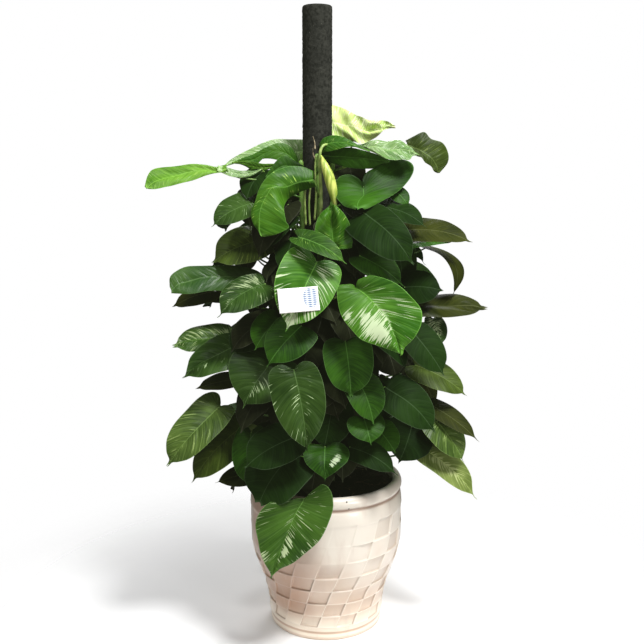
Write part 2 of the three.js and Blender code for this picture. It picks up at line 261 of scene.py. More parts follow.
POT_HEIGHT = 377
POT_FLOOR = 16
POT_OUTER = [
    (139.5, 0), (140.5, 14), (138, 19), (142.5, 25), (143.5, 54), (150, 87), (157.5, 120),
    (171, 153), (181, 185), (188, 218), (189, 260), (188.5, 304), (190, 309), (188.5, 328),
    (186.5, 340), (183, 346),
    (184, 350), (188, 354), (189.5, 361), (188, 369), (184, 375), (178, POT_HEIGHT),
]
POT_INNER = [
    (170, POT_HEIGHT), (166, 371), (166, 340), (177, 300), (176, 218), (159, 153), (138, 87),
    (130, 26), (120, POT_FLOOR),
]
POT_ROUNDING = 3
POT_MIDDLE = 3  # where the underside and the floor inside close, flat across the middle
PROFILE_STEP = 2
INSIDE_SKIP = 3  # the inside is turned more coarsely by this much
FOOT_MARGIN = 6  # a point this much nearer to the middle than the foot's edge isn't on the side
FOOT_RING = 19
GROOVE_HEIGHT = 347
PITS = [(47, -181, 369), (52, -178, 352), (-53, -134, 25)]  # pinholes in the glaze
RELIEF_LINES = (34, 64, 99, 137, 176, 217, 260, 309)  # heights between which the rows lie
RELIEF_CELLS = 20
RELIEF_START = 9.3  # bearing at which the lowest row's first cell starts
RELIEF_LEAN = 4.5  # degrees round the pot that a cell's side leans to the right over one row
RELIEF_DEPTH = 3.6
RELIEF_EDGE = 2.4  # width of a cell's rounded step
RIDGE_HEIGHT = 0.9  # a low ridge runs round each raised cell
RIDGE_WIDTH = 4.5
# High up the glaze all but fills the relief, except towards +X.
RELIEF_FILLED = 0.9
FILLED_ABOVE = (172, 222)  # heights over which this sets in
FILLED_BESIDE = (110, 40)  # places across, likewise
# lines across a cell, close together at its sides
CELL_LINES = (0, 0.03, 0.065, 0.11, 0.2, 0.35, 0.5, 0.65, 0.8, 0.89, 0.935, 0.97)
DRAIN_RADIUS = 9
DRAIN_CIRCLE = 75
DRAIN_BEARINGS = (60, 180, 300)
DRAIN_SIDES = 24


def bearing(degrees):
    """A level direction, in degrees from the show side towards +X."""
    angle = math.radians(degrees)
    return np.array((math.sin(angle), -math.cos(angle), 0.0))


def rounded(points, step, reach):
    """A line through points, with a point at every step and its corners rounded over reach."""
    points = np.array(points, dtype=float)
    lengths = np.concatenate([[0], np.cumsum(np.linalg.norm(np.diff(points, axis=0), axis=1))])
    places = np.linspace(0, lengths[-1], round(lengths[-1] / step) + 1)
    line = np.stack([np.interp(places, lengths, points[:, k]) for k in (0, 1)], -1)
    count = round(reach / step)
    weights = np.cos(np.linspace(-1, 1, 2 * count + 3)[1:-1] * math.pi / 2)
    weights /= weights.sum()
    padded = np.pad(line, ((count, count), (0, 0)), mode="edge")
    return np.stack([np.convolve(padded[:, k], weights, "valid") for k in (0, 1)], -1)


def smooth_step(values):
    """0 up to 0, 1 from 1 on and smooth between."""
    values = np.clip(values, 0, 1)
    return values * values * (3 - 2 * values)


def ring_faces(rings, columns, first_cap=True, last_cap=True):
    """The quads between rings of points, and flat faces that close the first and last ring."""
    faces = [(r * columns + k, r * columns + (k + 1) % columns,
              (r + 1) * columns + (k + 1) % columns, (r + 1) * columns + k)
             for r in range(rings - 1) for k in range(columns)]
    if first_cap:
        faces.append(tuple(range(columns))[::-1])
    if last_cap:
        faces.append(tuple((rings - 1) * columns + k for k in range(columns)))
    return faces


def pot_rings():
    """For each ring of the pot's surface: radius, height, relief row, place in that row."""
    turned = [(POT_MIDDLE, 0), *POT_OUTER, *POT_INNER, (POT_MIDDLE, POT_FLOOR)]
    profile = rounded(turned, PROFILE_STEP, POT_ROUNDING)
    crest = int(profile[:, 1].argmax())
    outer = profile[:crest]
    side = outer[outer[:, 0] > POT_OUTER[0][0] - FOOT_MARGIN]
    rings = [(r, z, 0, 0) for r, z in outer if z < RELIEF_LINES[0]]
    for row, (low, high) in enumerate(zip(RELIEF_LINES, RELIEF_LINES[1:])):
        for line in CELL_LINES:
            z = low + line * (high - low)
            rings.append((np.interp(z, side[:, 1], side[:, 0]), z, row, line))
    above = len(RELIEF_LINES) - 1
    rings += [(r, z, above, 0) for r, z in outer if z > RELIEF_LINES[-1]]
    rings += [(r, z, above, 0) for r, z in profile[crest::INSIDE_SKIP]]
    return rings


def between(values, start, end):
    """How far values have gone from start to end, smoothly."""
    return smooth_step((values - start) / (end - start))


def pot_mesh():
    """The pot's points and faces, then how sunk and how raised each point is, from 0 to 1."""
    rings = pot_rings()
    cell = 360 / RELIEF_CELLS
    turns = np.array([k + line for k in range(RELIEF_CELLS) for line in CELL_LINES]) * cell
    cell_number = np.repeat(np.arange(RELIEF_CELLS), len(CELL_LINES))
    cell_place = np.tile(CELL_LINES, RELIEF_CELLS)
    points, sunk, ridged = [], [], []
    for radius, height, row, line in rings:
        angles = np.radians(RELIEF_START + turns + RELIEF_LEAN * (row + line))
        depth = np.zeros(len(turns))
        ridge = np.zeros(len(turns))
        if row < len(RELIEF_LINES) - 1 and height >= RELIEF_LINES[0]:
            wide = 2 * math.pi * radius / RELIEF_CELLS
            high = RELIEF_LINES[row + 1] - RELIEF_LINES[row]
            inward = np.minimum(np.minimum(cell_place, 1 - cell_place) * wide,
                                min(line, 1 - line) * high)
            depth = smooth_step(inward / RELIEF_EDGE) * ((cell_number + row) % 2 == 0)
            ridge = (1 - smooth_step(inward / RIDGE_WIDTH)) * (1 - depth)
        across = radius * np.sin(angles)
        shown = 1 - (RELIEF_FILLED * between(height, *FILLED_ABOVE)
                     * between(across, *FILLED_BESIDE))
        depth = depth * shown
        ridge = ridge * shown
        out = radius - RELIEF_DEPTH * depth + RIDGE_HEIGHT * ridge
        points.append(np.stack([out * np.sin(angles), -out * np.cos(angles),
                                np.full(len(angles), height)], -1))
        sunk.append(depth)
        ridged.append(ridge)
    faces = ring_faces(len(rings), len(turns))
    return np.concatenate(points), faces, np.concatenate(sunk), np.concatenate(ridged)


def pot_material():
    material, wire, shader = new_material("warm_white_glaze", 0.3)
    place = wire.place()
    x, y, height = (place.part(k) for k in range(3))
    sunk = wire.attribute("sunk", 2)
    ridge = wire.attribute("ridge", 2)
    cloud = place.noise(9.0, 3.0)
    runs = place.stretched(40, 40, 9).noise(1.0, 3.0)
    # Painted shade: darker and warmer towards the bottom, where the body turns down from the light,
    # with a painted warm reflection from the floor.
    painted_lower_shade = (height * -4.2 + cloud * 0.9).step(-0.8, 0.25)
    # Painted shade: brown-pink over the left of the show side, which the light doesn't reach.
    left = (x * -9.0 + cloud * 0.8).step(0.2, 1.15) * y.step(0.0, -0.09)
    # Painted shade down the right flank, where the body curves away from the light, more in the
    # sunk cells.
    right = (x * 9.0 + cloud * 0.8).step(1.1, 1.9) * (sunk * 0.7 + 0.3)
    above_foot = height.step(0.035, 0.085)
    # Painted shadow in the groove under the foot's overhang.
    foot_groove_shadow = abs(height - FOOT_RING * MM).step(0.005, 0.001)
    # Painted shade in the groove below the rim.
    groove = abs(height - GROOVE_HEIGHT * MM).step(0.007, 0.001)
    # Darker along the cells' steps: partly glaze that runs thin over them, partly painted ledge
    # shadow.
    thin_glaze_and_ledge_shade = abs(sunk - 0.5).step(0.5, 0.2)
    pit = 0
    for spot in PITS:
        away = wire.make("ShaderNodeVectorMath", {"operation": "DISTANCE"},
                         {0: place, 1: tuple(c * MM for c in spot)}, "Value")
        pit = away.step(0.0026, 0.0012) + pit
    colour = painted_lower_shade.mix(srgb(241, 233, 219), srgb(220, 196, 174))
    # One tint over another: how much of it, and its colour.
    tints = [
        # painted bounce light from the floor: lighter and warmer low down
        ((height + cloud * 0.03).step(0.12, 0.03), (250, 236, 216)),
        # painted shade: the sunk cells a little darker, low down
        (sunk * painted_lower_shade * 0.04, (206, 170, 142)),
        # painted shade on the left
        (left * above_foot * 0.65, (168, 118, 86)),
        # painted shade on the right flank
        (right * above_foot * 0.35, (170, 140, 116)),
        # painted shadow in the foot's groove, and darker along the very bottom
        (foot_groove_shadow * 0.7 + height.step(0.010, 0.006) * 0.35, (196, 150, 118)),
        # painted shade in the rim groove
        (groove * 0.8, (150, 112, 88)),
        # thin glaze and painted ledge shadow at the steps
        (thin_glaze_and_ledge_shade * painted_lower_shade * 0.5, (150, 106, 80)),
        # painted highlight along the ridges round the raised cells, less on the shaded left
        (ridge.step(0.1, 0.9) * (1 - left * 0.7) * 0.5, (252, 244, 231)),
        (runs.step(0.55, 0.75) * 0.25, (206, 184, 166)),
        (pit, (50, 38, 30)),
    ]
    for much, tint in tints:
        colour = much.mix(colour, srgb(*tint))
    colour.into(shader["Base Color"])
    (cloud * 0.22 + 0.22).into(shader["Roughness"])
    (cloud * 0.6 + runs * 0.4 - pit).bump(0.5, 0.0012).into(shader["Normal"])
    shader["Coat Weight"].default_value = 0.35
    shader["Coat Roughness"].default_value = 0.12
    return material


def cut_drains(pot):
    """Takes the three drain holes out of the pot's floor."""
    cutters = []
    for angle in DRAIN_BEARINGS:
        middle = bearing(angle) * DRAIN_CIRCLE
        rings = [middle + bearing(360 * k / DRAIN_SIDES) * DRAIN_RADIUS + np.array((0, 0, z))
                 for z in (-POT_FLOOR, 2 * POT_FLOOR) for k in range(DRAIN_SIDES)]
        cutter = mesh_object("drain_cutter", rings, ring_faces(2, DRAIN_SIDES))
        cutters.append(cutter)
        modifier = pot.modifiers.new("drain", "BOOLEAN")
        modifier.operation = "DIFFERENCE"
        modifier.object = cutter
    drilled = bpy.data.meshes.new_from_object(
        pot.evaluated_get(bpy.context.evaluated_depsgraph_get()))
    pot.modifiers.clear()
    pot.data = drilled
    for cutter in cutters:
        bpy.data.objects.remove(cutter)


def mark(piece, **marks):
    """Keeps a number or a vector on each point of a piece, for its material."""
    for name, values in marks.items():
        kind, field = ("FLOAT", "value") if values.ndim == 1 else ("FLOAT_VECTOR", "vector")
        piece.data.attributes.new(name, kind, "POINT").data.foreach_set(field, values.ravel())


pot_points, pot_faces, pot_sunk, pot_ridge = pot_mesh()
pot = mesh_object("glazed_pot", pot_points, pot_faces, pot_material())
mark(pot, sunk=pot_sunk, ridge=pot_ridge)
cut_drains(pot)
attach(pot, "root")
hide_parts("pot")


# ---- Soil ------------------------------------------------------------------------------------
# Dark peaty potting mix, filled to a little below the rim and domed round the pole, with bark
# chips and a few dry rootlets lying on it.

SOIL_RADIUS = 165.4
SOIL_PROFILE = [(126, 21), (130, 32), (134, 80), (156, 150), (173, 216), (174, 296),
                (SOIL_RADIUS, 338)]
SOIL_EDGE = 356
SOIL_MIDDLE = 364
SOIL_COLUMNS = 150
SOIL_RADII = np.linspace(SOIL_RADIUS, 30, 46)
DOME_RADIUS = 166
LUMP_SIZE = 26
LUMP_HEIGHT = 5.0
CHIP_COUNT = 420
CHIP_SPREAD = (0.12, 1)  # from the middle to the edge, as parts of the area
CHIP_REACH = 160
CHIP_LENGTHS = (1.5, 5.5)
CHIP_WIDTHS = (1.5, 4)
CHIP_HEIGHTS = (0.8, 2)
CHIP_RINGS = ((-1, 0.6), (0, 1), (1, 0.5))
CHIP_SIDES = 6
ROOTLET_COUNT = 26
ROOTLET_STARTS = (60, 140)
ROOTLET_EDGE = 158  # a rootlet that comes this far out turns back
ROOTLET_STEPS = 9
ROOTLET_STEP = 5
ROOTLET_RADII = (0.9, 0.35)
ROOTLET_SIDES = 5
ROOTLET_LIFT = 1.4


def soil_height(x, y):
    """The height of the soil's surface at a spot."""
    dome = 1 - (math.hypot(x, y) / DOME_RADIUS) ** 2
    lumps = noise.fractal(Vector((x, y, 3.0)) / LUMP_SIZE, 0.8, 2.2, 4)
    return SOIL_EDGE + (SOIL_MIDDLE - SOIL_EDGE) * dome + LUMP_HEIGHT * lumps


def add_to(points, faces, more_points, more_faces):
    """Adds one mesh to the lists of another."""
    faces += [tuple(len(points) + n for n in face) for face in more_faces]
    points += list(more_points)


def soil_mesh():
    turns = [360 * k / SOIL_COLUMNS for k in range(SOIL_COLUMNS)]
    points = [bearing(turn) * radius + np.array((0, 0, z))
              for radius, z in SOIL_PROFILE for turn in turns]
    for radius in SOIL_RADII:
        for turn in turns:
            spot = bearing(turn) * radius
            points.append(np.array((spot[0], spot[1], soil_height(spot[0], spot[1]))))
    faces = ring_faces(len(SOIL_PROFILE) + len(SOIL_RADII), SOIL_COLUMNS)
    draw = random.Random(5)
    for _ in range(CHIP_COUNT):
        spot = bearing(draw.uniform(0, 360)) * CHIP_REACH * draw.uniform(*CHIP_SPREAD) ** 0.5
        spot[2] = soil_height(spot[0], spot[1])
        size = [draw.uniform(*sizes) for sizes in (CHIP_LENGTHS, CHIP_WIDTHS, CHIP_HEIGHTS)]
        turn = draw.uniform(0, math.pi)
        chip = []
        for lift, wide in CHIP_RINGS:
            for k in range(CHIP_SIDES):
                angle = 2 * math.pi * k / CHIP_SIDES
                reach = wide * draw.uniform(0.75, 1.2)
                across = math.cos(angle) * size[0] * reach
                along = math.sin(angle) * size[1] * reach
                chip.append(spot + np.array((
                    across * math.cos(turn) - along * math.sin(turn),
                    across * math.sin(turn) + along * math.cos(turn), lift * size[2] + 1)))
        add_to(points, faces, chip, ring_faces(len(CHIP_RINGS), CHIP_SIDES))
    return points, faces


def soil_material():
    material, wire, shader = new_material("potting_soil", 0.95)
    place = wire.place()
    coarse = place.noise(120.0, 4.0, 0.6)
    fine = place.noise(600.0, 3.0, 0.6)
    colour = coarse.step(0.35, 0.75).mix(srgb(16, 13, 11), srgb(50, 38, 30))
    colour = fine.step(0.62, 0.72).mix(colour, srgb(78, 60, 46))
    colour.into(shader["Base Color"])
    (coarse + fine * 0.4).bump(0.9, 0.002).into(shader["Normal"])
    shader["Specular IOR Level"].default_value = 0.2
    return material


def unit(vector):
    return vector / np.linalg.norm(vector)


def tube(points, radii, sides):
    """A closed round tube through points: its points and faces."""
    points = np.asarray(points, dtype=float)
    tangents = np.gradient(points, axis=0)
    tangents /= np.linalg.norm(tangents, axis=1, keepdims=True)
    turns = 2 * math.pi * np.arange(sides) / sides
    across = np.array((1.0, 0.13, 0.07))
    rings = []
    for point, tangent, radius in zip(points, tangents, radii):
        across = unit(across - across.dot(tangent) * tangent)
        other = np.cross(tangent, across)
        rings.append(point + radius * (np.cos(turns)[:, None] * across
                                       + np.sin(turns)[:, None] * other))
    return np.concatenate(rings), ring_faces(len(points), sides)


def rootlets():
    """Thin dry roots that lie on the soil."""
    draw = random.Random(11)
    points, faces = [], []
    for _ in range(ROOTLET_COUNT):
        spot = bearing(draw.uniform(0, 360)) * draw.uniform(*ROOTLET_STARTS)
        heading = draw.uniform(0, 2 * math.pi)
        line = []
        for _ in range(ROOTLET_STEPS):
            line.append((spot[0], spot[1], soil_height(spot[0], spot[1]) + ROOTLET_LIFT))
            heading += draw.uniform(-0.5, 0.5)
            spot = spot + np.array((math.cos(heading), math.sin(heading), 0)) * ROOTLET_STEP
            if math.hypot(spot[0], spot[1]) > ROOTLET_EDGE:
                heading += math.pi
        radii = np.linspace(*ROOTLET_RADII, ROOTLET_STEPS)
        add_to(points, faces, *tube(line, radii, ROOTLET_SIDES))
    return points, faces


def grained_material(name, roughness, scale, steps, dark, light):
    """A finish that wanders between two tones; scale and steps are those of the noise."""
    material, wire, shader = new_material(name, roughness)
    grain = wire.place().noise(scale, 2.0)
    grain.step(*steps).mix(srgb(*dark), srgb(*light)).into(shader["Base Color"])
    return material


soil_points, soil_faces = soil_mesh()
soil = mesh_object("potting_mix", soil_points, soil_faces, soil_material())
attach(soil, "root")
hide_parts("soil")
DRY_ROOT = grained_material("dry_root", 0.8, 300.0, (0.3, 0.7), (70, 52, 38), (128, 104, 78))
dry_roots = mesh_object("dry_rootlets", *rootlets(), DRY_ROOT)
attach(dry_roots, "root")


# ---- Pole ------------------------------------------------------------------------------------
# A plastic pipe in a thick sleeve of black pressed fibre, joined down its left side and closed
# at the top. The sleeve stays damp for the aerial roots, so its face is matt and woolly.

POLE_X = -21  # the pole stands a little left of the pot's middle
POLE_TOP = 1500
POLE_FOOT = 60
POLE_RADIUS = 35
POLE_CROWN = 5
TOP_RADII = (26, 21, 16, 11, 6, 2)
SIDE_FROM = 30  # a ring wider than this is on the side, a narrower one on the top
BORE_RADIUS = 20.3
BORE_TOP = 1490
POLE_COLUMNS = 110
POLE_STEP = 4.2
FIBRE_DEPTH = 0.9
FIBRE_LEVEL = 0.35  # the tufts' own mean
TUFT_SIZE = 7
SEAM_BEARING = -60
SEAM_WIDTH = 3.0
SEAM_DEPTH = 1.4


def pole_mesh():
    crown = [(POLE_RADIUS - POLE_CROWN * (1 - math.cos(a)),
              POLE_TOP - POLE_CROWN * (1 - math.sin(a))) for a in np.linspace(0, math.pi / 2, 5)]
    wall = [(POLE_RADIUS, z) for z in np.arange(POLE_FOOT, POLE_TOP - POLE_CROWN, POLE_STEP)]
    top = [(radius, POLE_TOP) for radius in TOP_RADII]
    turns = [360 * k / POLE_COLUMNS for k in range(POLE_COLUMNS)]
    middle = np.array((POLE_X, 0, 0))
    points = []
    for radius, z in wall + crown + top:
        for turn in turns:
            out = bearing(turn)
            spot = out * radius + np.array((0, 0, z))
            tuft = noise.fractal(Vector(spot) / TUFT_SIZE, 0.9, 2.1, 3)
            aside = radius > SIDE_FROM
            off_seam = (turn - SEAM_BEARING + 180) % 360 - 180
            seam = math.exp(-(math.radians(off_seam) * POLE_RADIUS / SEAM_WIDTH) ** 2)
            push = FIBRE_DEPTH * (tuft - FIBRE_LEVEL) - SEAM_DEPTH * seam * aside
            spot = spot + (out * push if aside else np.array((0, 0, min(0, push))))
            points.append(middle + spot)
    outer = len(wall) + len(crown) + len(top)
    faces = ring_faces(outer, POLE_COLUMNS, first_cap=False)
    bore = [middle + bearing(turn) * radius + np.array((0, 0, z))
            for radius, z in ((BORE_RADIUS, POLE_FOOT), (BORE_RADIUS, BORE_TOP)) for turn in turns]
    base = len(points)
    points += bore
    for k in range(POLE_COLUMNS):
        after = (k + 1) % POLE_COLUMNS
        low, low_after, high, high_after = (base + k, base + after, base + POLE_COLUMNS + k,
                                            base + POLE_COLUMNS + after)
        faces.append((k, low, low_after, after))
        faces.append((low, high, high_after, low_after))
    faces.append(tuple(base + POLE_COLUMNS + k for k in range(POLE_COLUMNS))[::-1])
    return points, faces


def fibre_material():
    material, wire, shader = new_material("black_fibre", 1.0)
    place = wire.place()
    tufts = place.noise(130.0, 4.0, 0.65)
    hairs = place.stretched(700, 700, 260).noise(1.0, 3.0, 0.6)
    patches = place.noise(18.0, 3.0)
    colour = patches.step(0.3, 0.7).mix(srgb(46, 47, 43), srgb(62, 63, 57))
    colour = (tufts.step(0.35, 0.62) * 0.75).mix(srgb(30, 31, 28), colour)
    colour = (hairs.step(0.6, 0.75) * 0.5).mix(colour, srgb(92, 94, 84))
    flecks = wire.make("ShaderNodeTexVoronoi", {}, {"Vector": place, "Scale": 60.0})
    pale = flecks.step(0.06, 0.03) * place.noise(11.0).step(0.6, 0.66)
    colour = (pale * 0.8).mix(colour, srgb(150, 150, 138))
    colour.into(shader["Base Color"])
    (tufts * 0.7 + hairs * 0.5).bump(1.0, 0.0016).into(shader["Normal"])
    shader["Specular IOR Level"].default_value = 0.1
    return material


sleeve = mesh_object("pole_fibre", *pole_mesh(), fibre_material())
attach(sleeve, "root")
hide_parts("pole_sleeve")
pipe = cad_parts["pole_pipe"]
pipe.data.materials.clear()
pipe.data.materials.append(grained_material("grey_pipe", 0.5, 20.0, (0.2, 0.8),
                                            (140, 142, 142), (166, 168, 168)))


# ---- Stems -----------------------------------------------------------------------------------
# The climbing stems: green cords as thick as a finger, ringed where each leaf grew, that wander a
# little as they climb the pole and hold on to it with short brown aerial roots.

STEM_RADIUS = 6.5
STEM_GAP = 0.3
STEM_DISTANCE = POLE_RADIUS + STEM_GAP + STEM_RADIUS
STEM_SWAY = 4
STEM_WAVE = 440
STEM_STRAIGHT = 380  # height up to which a stem stands straight
STEM_FOOT = 325
STEM_NODE = 62  # height between two rings
STEM_THIN = 0.9  # radius between two rings, as a part of the whole
RING_SWELL = 0.16
RING_LENGTH = 3.5
STEM_STEP = 6
STEM_SIDES = 14
ROOTS_AT_RING = 3
ROOT_TURNS = (0.5, 1.1)
ROOT_REACHES = (9, 16)
ROOT_DROPS = (-10, 6)
ROOT_RADII = (1.2, 0.6)
ROOT_STEPS = 5
ROOT_SIDES = 5
ROOTLESS_END = 30  # the young end of a stem has no aerial roots yet
# name, bearing in degrees from the show side towards +X, top
STEMS = [
    ("stem_front", 4, 1165),
    ("stem_front_right", 62, 1190),
    ("stem_back_right", 118, 1145),
    ("stem_back", 180, 1255),
    ("stem_back_left", 242, 1170),
    ("stem_front_left", 298, 1150),
]


def stem_point(angle, height):
    climb = max(0, height - STEM_STRAIGHT)
    sway = STEM_SWAY * math.sin(2 * math.pi * climb / STEM_WAVE)
    return bearing(angle + sway) * STEM_DISTANCE + np.array((POLE_X, 0, height))


def stem_radius(height, phase):
    near = (height + phase) % STEM_NODE - STEM_NODE / 2
    return STEM_RADIUS * (STEM_THIN + RING_SWELL * math.exp(-((near / RING_LENGTH) ** 2)))


def stem_material():
    material, wire, shader = new_material("climbing_stem", 0.5)
    place = wire.place()
    streaks = place.stretched(260, 260, 30).noise(1.0, 3.0)
    young = (place.part(2) + streaks * 0.2).step(0.9, 1.2)
    colour = young.mix(srgb(66, 84, 40), srgb(112, 156, 62))
    colour = (streaks.step(0.5, 0.7) * 0.5).mix(colour, srgb(96, 84, 52))
    colour.into(shader["Base Color"])
    streaks.bump(0.5, 0.001).into(shader["Normal"])
    return material


CLIMBING_STEM = stem_material()


def stem_object(name, angle, top):
    """One stem with its rings and its aerial roots."""
    draw = random.Random(name)
    phase = draw.uniform(0, STEM_NODE)
    heights = np.append(np.arange(STEM_FOOT, top - STEM_STEP, STEM_STEP),
                        (top - STEM_STEP, top - 2, top - 0.3))
    radii = [stem_radius(z, phase) for z in heights]
    radii[-2:] = [0.8 * radii[-2], 0.4 * radii[-1]]
    points, faces = tube([stem_point(angle, z) for z in heights], radii, STEM_SIDES)
    points = list(points)
    slots = [0] * len(faces)
    height = STEM_STRAIGHT + 20 + STEM_NODE - phase
    while height < top - ROOTLESS_END:
        node = stem_point(angle, height)
        towards = np.array((POLE_X, 0, height)) - node
        for _ in range(ROOTS_AT_RING):
            side = draw.choice((-1, 1)) * draw.uniform(*ROOT_TURNS)
            heading = unit(towards)
            turned = np.array((heading[0] * math.cos(side) - heading[1] * math.sin(side),
                               heading[0] * math.sin(side) + heading[1] * math.cos(side), 0))
            reach = draw.uniform(*ROOT_REACHES)
            drop = draw.uniform(*ROOT_DROPS)
            line = [node + turned * reach * s + np.array((0, 0, drop * s * s))
                    for s in np.linspace(0.2, 1, ROOT_STEPS)]
            root, root_faces = tube(line, np.linspace(*ROOT_RADII, ROOT_STEPS), ROOT_SIDES)
            add_to(points, faces, root, root_faces)
            slots += [1] * len(root_faces)
        height += STEM_NODE
    stem = mesh_object(name + "_bark", points, faces, CLIMBING_STEM)
    stem.data.materials.append(DRY_ROOT)
    stem.data.polygons.foreach_set("material_index", slots)
    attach(stem, "root")
    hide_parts(name)


for row in STEMS:
    stem_object(*row)


# ---- Leaves ----------------------------------------------------------------------------------
# Heart-shaped blades with a sunken midrib, and side veins between which the blade swells, each
# on its own stalk from a stem. Old ones are deep green, many of them streaked with cream, and
# the same streaks stand in as painted glints of light on the gloss.

# One half of a blade's outline: where a side vein leaves the midrib, then where it ends on the
# edge, across as a part of the half width and along as a part of the length.
OUTLINE = [
    (0.00, 0.00, 0.00),
    (0.00, 0.13, -0.060),
    (0.01, 0.42, -0.125),
    (0.02, 0.76, -0.075),
    (0.05, 0.965, 0.09),
    (0.12, 1.00, 0.30),
    (0.28, 0.92, 0.55),
    (0.49, 0.66, 0.77),
    (0.69, 0.34, 0.885),
    (0.85, 0.105, 0.945),
    (0.95, 0.045, 0.99),
    (1.00, 0.012, 1.05),
]
EDGE_CURL = 0.14
ARCH_START = 0.8
ARCH_GAIN = 0.4
USUAL_ARCH = 0.10
USUAL_FOLD = 8
USUAL_RISE = 60
BLADE_THICKNESS = 0.8
BLADE_SWELL = 0.12
SHAPED_FACING = 0.6  # how far the surface of a blade given by stations turns to its whole face
CRUMPLE = 2.6  # how much the blade of a wavy leaf is crumpled
VEIN_COUNT = 12  # side veins on each half
VEIN_BEND = 0.14  # how much a side vein bends forward
VEIN_LAG = 0.14  # how far back a side vein leaves the midrib, for blades given by stations
RIB_DEPTH = 1.4
RIB_WIDTH = 3.0
RIB_BELOW = 1.1
EDGE_WAVE = 0.022  # the edge's waves, as a part of the width
SWEEP = 0.03  # how far the midrib may bend sideways, as a part of the length
SKEW = 0.06  # how much wider one half may be
TAPERS = (0.85, 1.3)
TONES = (0.85, 1.15)
STALK_GAP = 1
STALK_LEAVE = 0.35
STALK_CLIMB = 0.12
STALK_ARRIVE = 0.22
STALK_RADII = (2.9, 1.8)
STALK_SIDES = 8
STALK_STEPS = 14
# Points along a blade, and from its midrib to its edge.
LEAF_GRID = (54, 11)
SMALL_LEAF_GRID = (42, 9)

# The leaves of the show side and the flanks: name, joint, tip, width, turn, lift and look, then
# where they aren't the usual ones arch, fold and rise of the joint above the stalk's foot. turn
# and lift aim the upper face. Each of these stands for the frame's own leaf of its name.
LEAVES = [
    ("leaf_top_far_left", (-240, -60, 1125), (-415, -90, 1085), 110, -10, 66, "young", 0.05, 8, 40),
    ("leaf_top_left", (-70, 62, 1168), (-235, 10, 1135), 90, -20, 45, "pale", 0.16, 8, 40),
    ("leaf_top_front_left", (-45, -75, 1108), (-147, -142, 982), 130, -50, 35, "bright", 0.24,
     10, 40),
    ("leaf_cream", (-48, 68, 1243), (155, 32, 1230), 95, 5, 5, "cream", 0.04, 6, 35),
    ("leaf_top_right", (65, -42, 1170), (230, -50, 1145), 55, 10, 45, "pale", 0.12, 8, 40),
    ("leaf_top_right_end", (215, -20, 1182), (260, -30, 1120), 84, 15, 5, "khaki", 0.20, 5),
    ("leaf_heart_top", (100, -75, 1112), (60, -205, 1040), 195, -28, 58, "green", 0.10, 10, 50),
    ("leaf_mottled_front", (17, -135, 954), (10, -120, 1054), 86, 0, 10, "bright", 0.12, 16, 50),
    ("leaf_dark_right", (85, -120, 1032), (188, -190, 928), 108, 0, 30, "dark", 0.12),
    ("leaf_olive_right", (190, -50, 990), (330, -90, 965), 85, 20, 45, "olive", 0.08),
    ("leaf_edge_droop", (241, -10, 945), (297, -60, 832), 80, 56, 10, "olive", 0.32, 10),
    ("leaf_flat_right", (205, -40, 808), (370, -80, 808), 95, 15, 58, "olive", 0.05),
    ("leaf_left_high", (-172, -60, 1052), (-260, -90, 1001), 92, -25, 35, "dusky", 0.12),
    ("leaf_left_olive", (-152, -30, 964), (-263, -60, 915), 118, -25, 35, "khaki", 0.08),
    ("leaf_left_long", (-165, -50, 866), (-365, -90, 845), 110, -15, 55, "fresh", 0.08),
    ("leaf_left_marbled", (-140, -130, 872), (-240, -175, 805), 112, -25, 42, "glossy", 0.12),
    ("leaf_card", (-21, -165, 926), (-87, -225, 785), 142, 18, 28, "streaked", 0.10, 14, 50),
    ("leaf_big_streaked", (67, -190, 868), (161, -255, 731), 165, 15, 25, "streaked", 0.10, 16),
    ("leaf_centre_low", (-57, -165, 781), (-130, -208, 700), 108, -10, 30, "green"),
    ("leaf_right_a", (199, -130, 761), (266, -160, 669), 88, 15, 25, "dark"),
    ("leaf_right_b", (215, -50, 665), (330, -80, 600), 90, 25, 40, "khaki", 0.08),
    ("leaf_right_c", (134, -160, 638), (243, -200, 546), 104, 10, 35, "dark", 0.12),
    ("leaf_centre_tip", (43, -165, 745), (55, -200, 630), 115, 5, 25, "green", 0.12, 10),
    ("leaf_centre_b", (70, -165, 658), (105, -210, 568), 88, 5, 30, "green", 0.12, 10),
    ("leaf_streaked_front", (-72, -232, 694), (-43, -268, 521), 120, 0, 20, "dusky", 0.08, 10, 110),
    ("leaf_left_mid", (-115, -138, 701), (-187, -188, 599), 168, -10, 30, "dusky"),
    ("leaf_left_tail", (-198, -84, 724), (-328, -128, 655), 105, -25, 40, "dusky", 0.10, 6),
    ("leaf_left_streak", (-225, -30, 732), (-360, -60, 714), 84, -20, 45, "marbled", 0.06, 6),
    ("leaf_left_ribbed", (-250, -110, 580), (-365, -160, 455), 112, -20, 35, "ribbed", 0.10, 10),
    ("leaf_left_low", (-200, -70, 520), (-315, -120, 400), 115, -25, 35, "khaki", 0.08),
    ("leaf_low_left", (-75, -190, 527), (-180, -225, 470), 115, -15, 45, "dark"),
    ("leaf_over_rim", (-46, -222, 395), (-124, -245, 212), 160, -5, 12, "feathered", 0.08, 10, 30),
    ("leaf_low_centre", (-3, -165, 497), (-3, -218, 431), 108, 0, 35, "green", 0.12, 12),
    ("leaf_low_right", (55, -150, 492), (159, -195, 442), 72, 10, 45, "dark", 0.10, 8, 50),
    ("leaf_marbled_low", (230, -70, 465), (355, -110, 355), 85, 30, 35, "yellowed", 0.08),
]
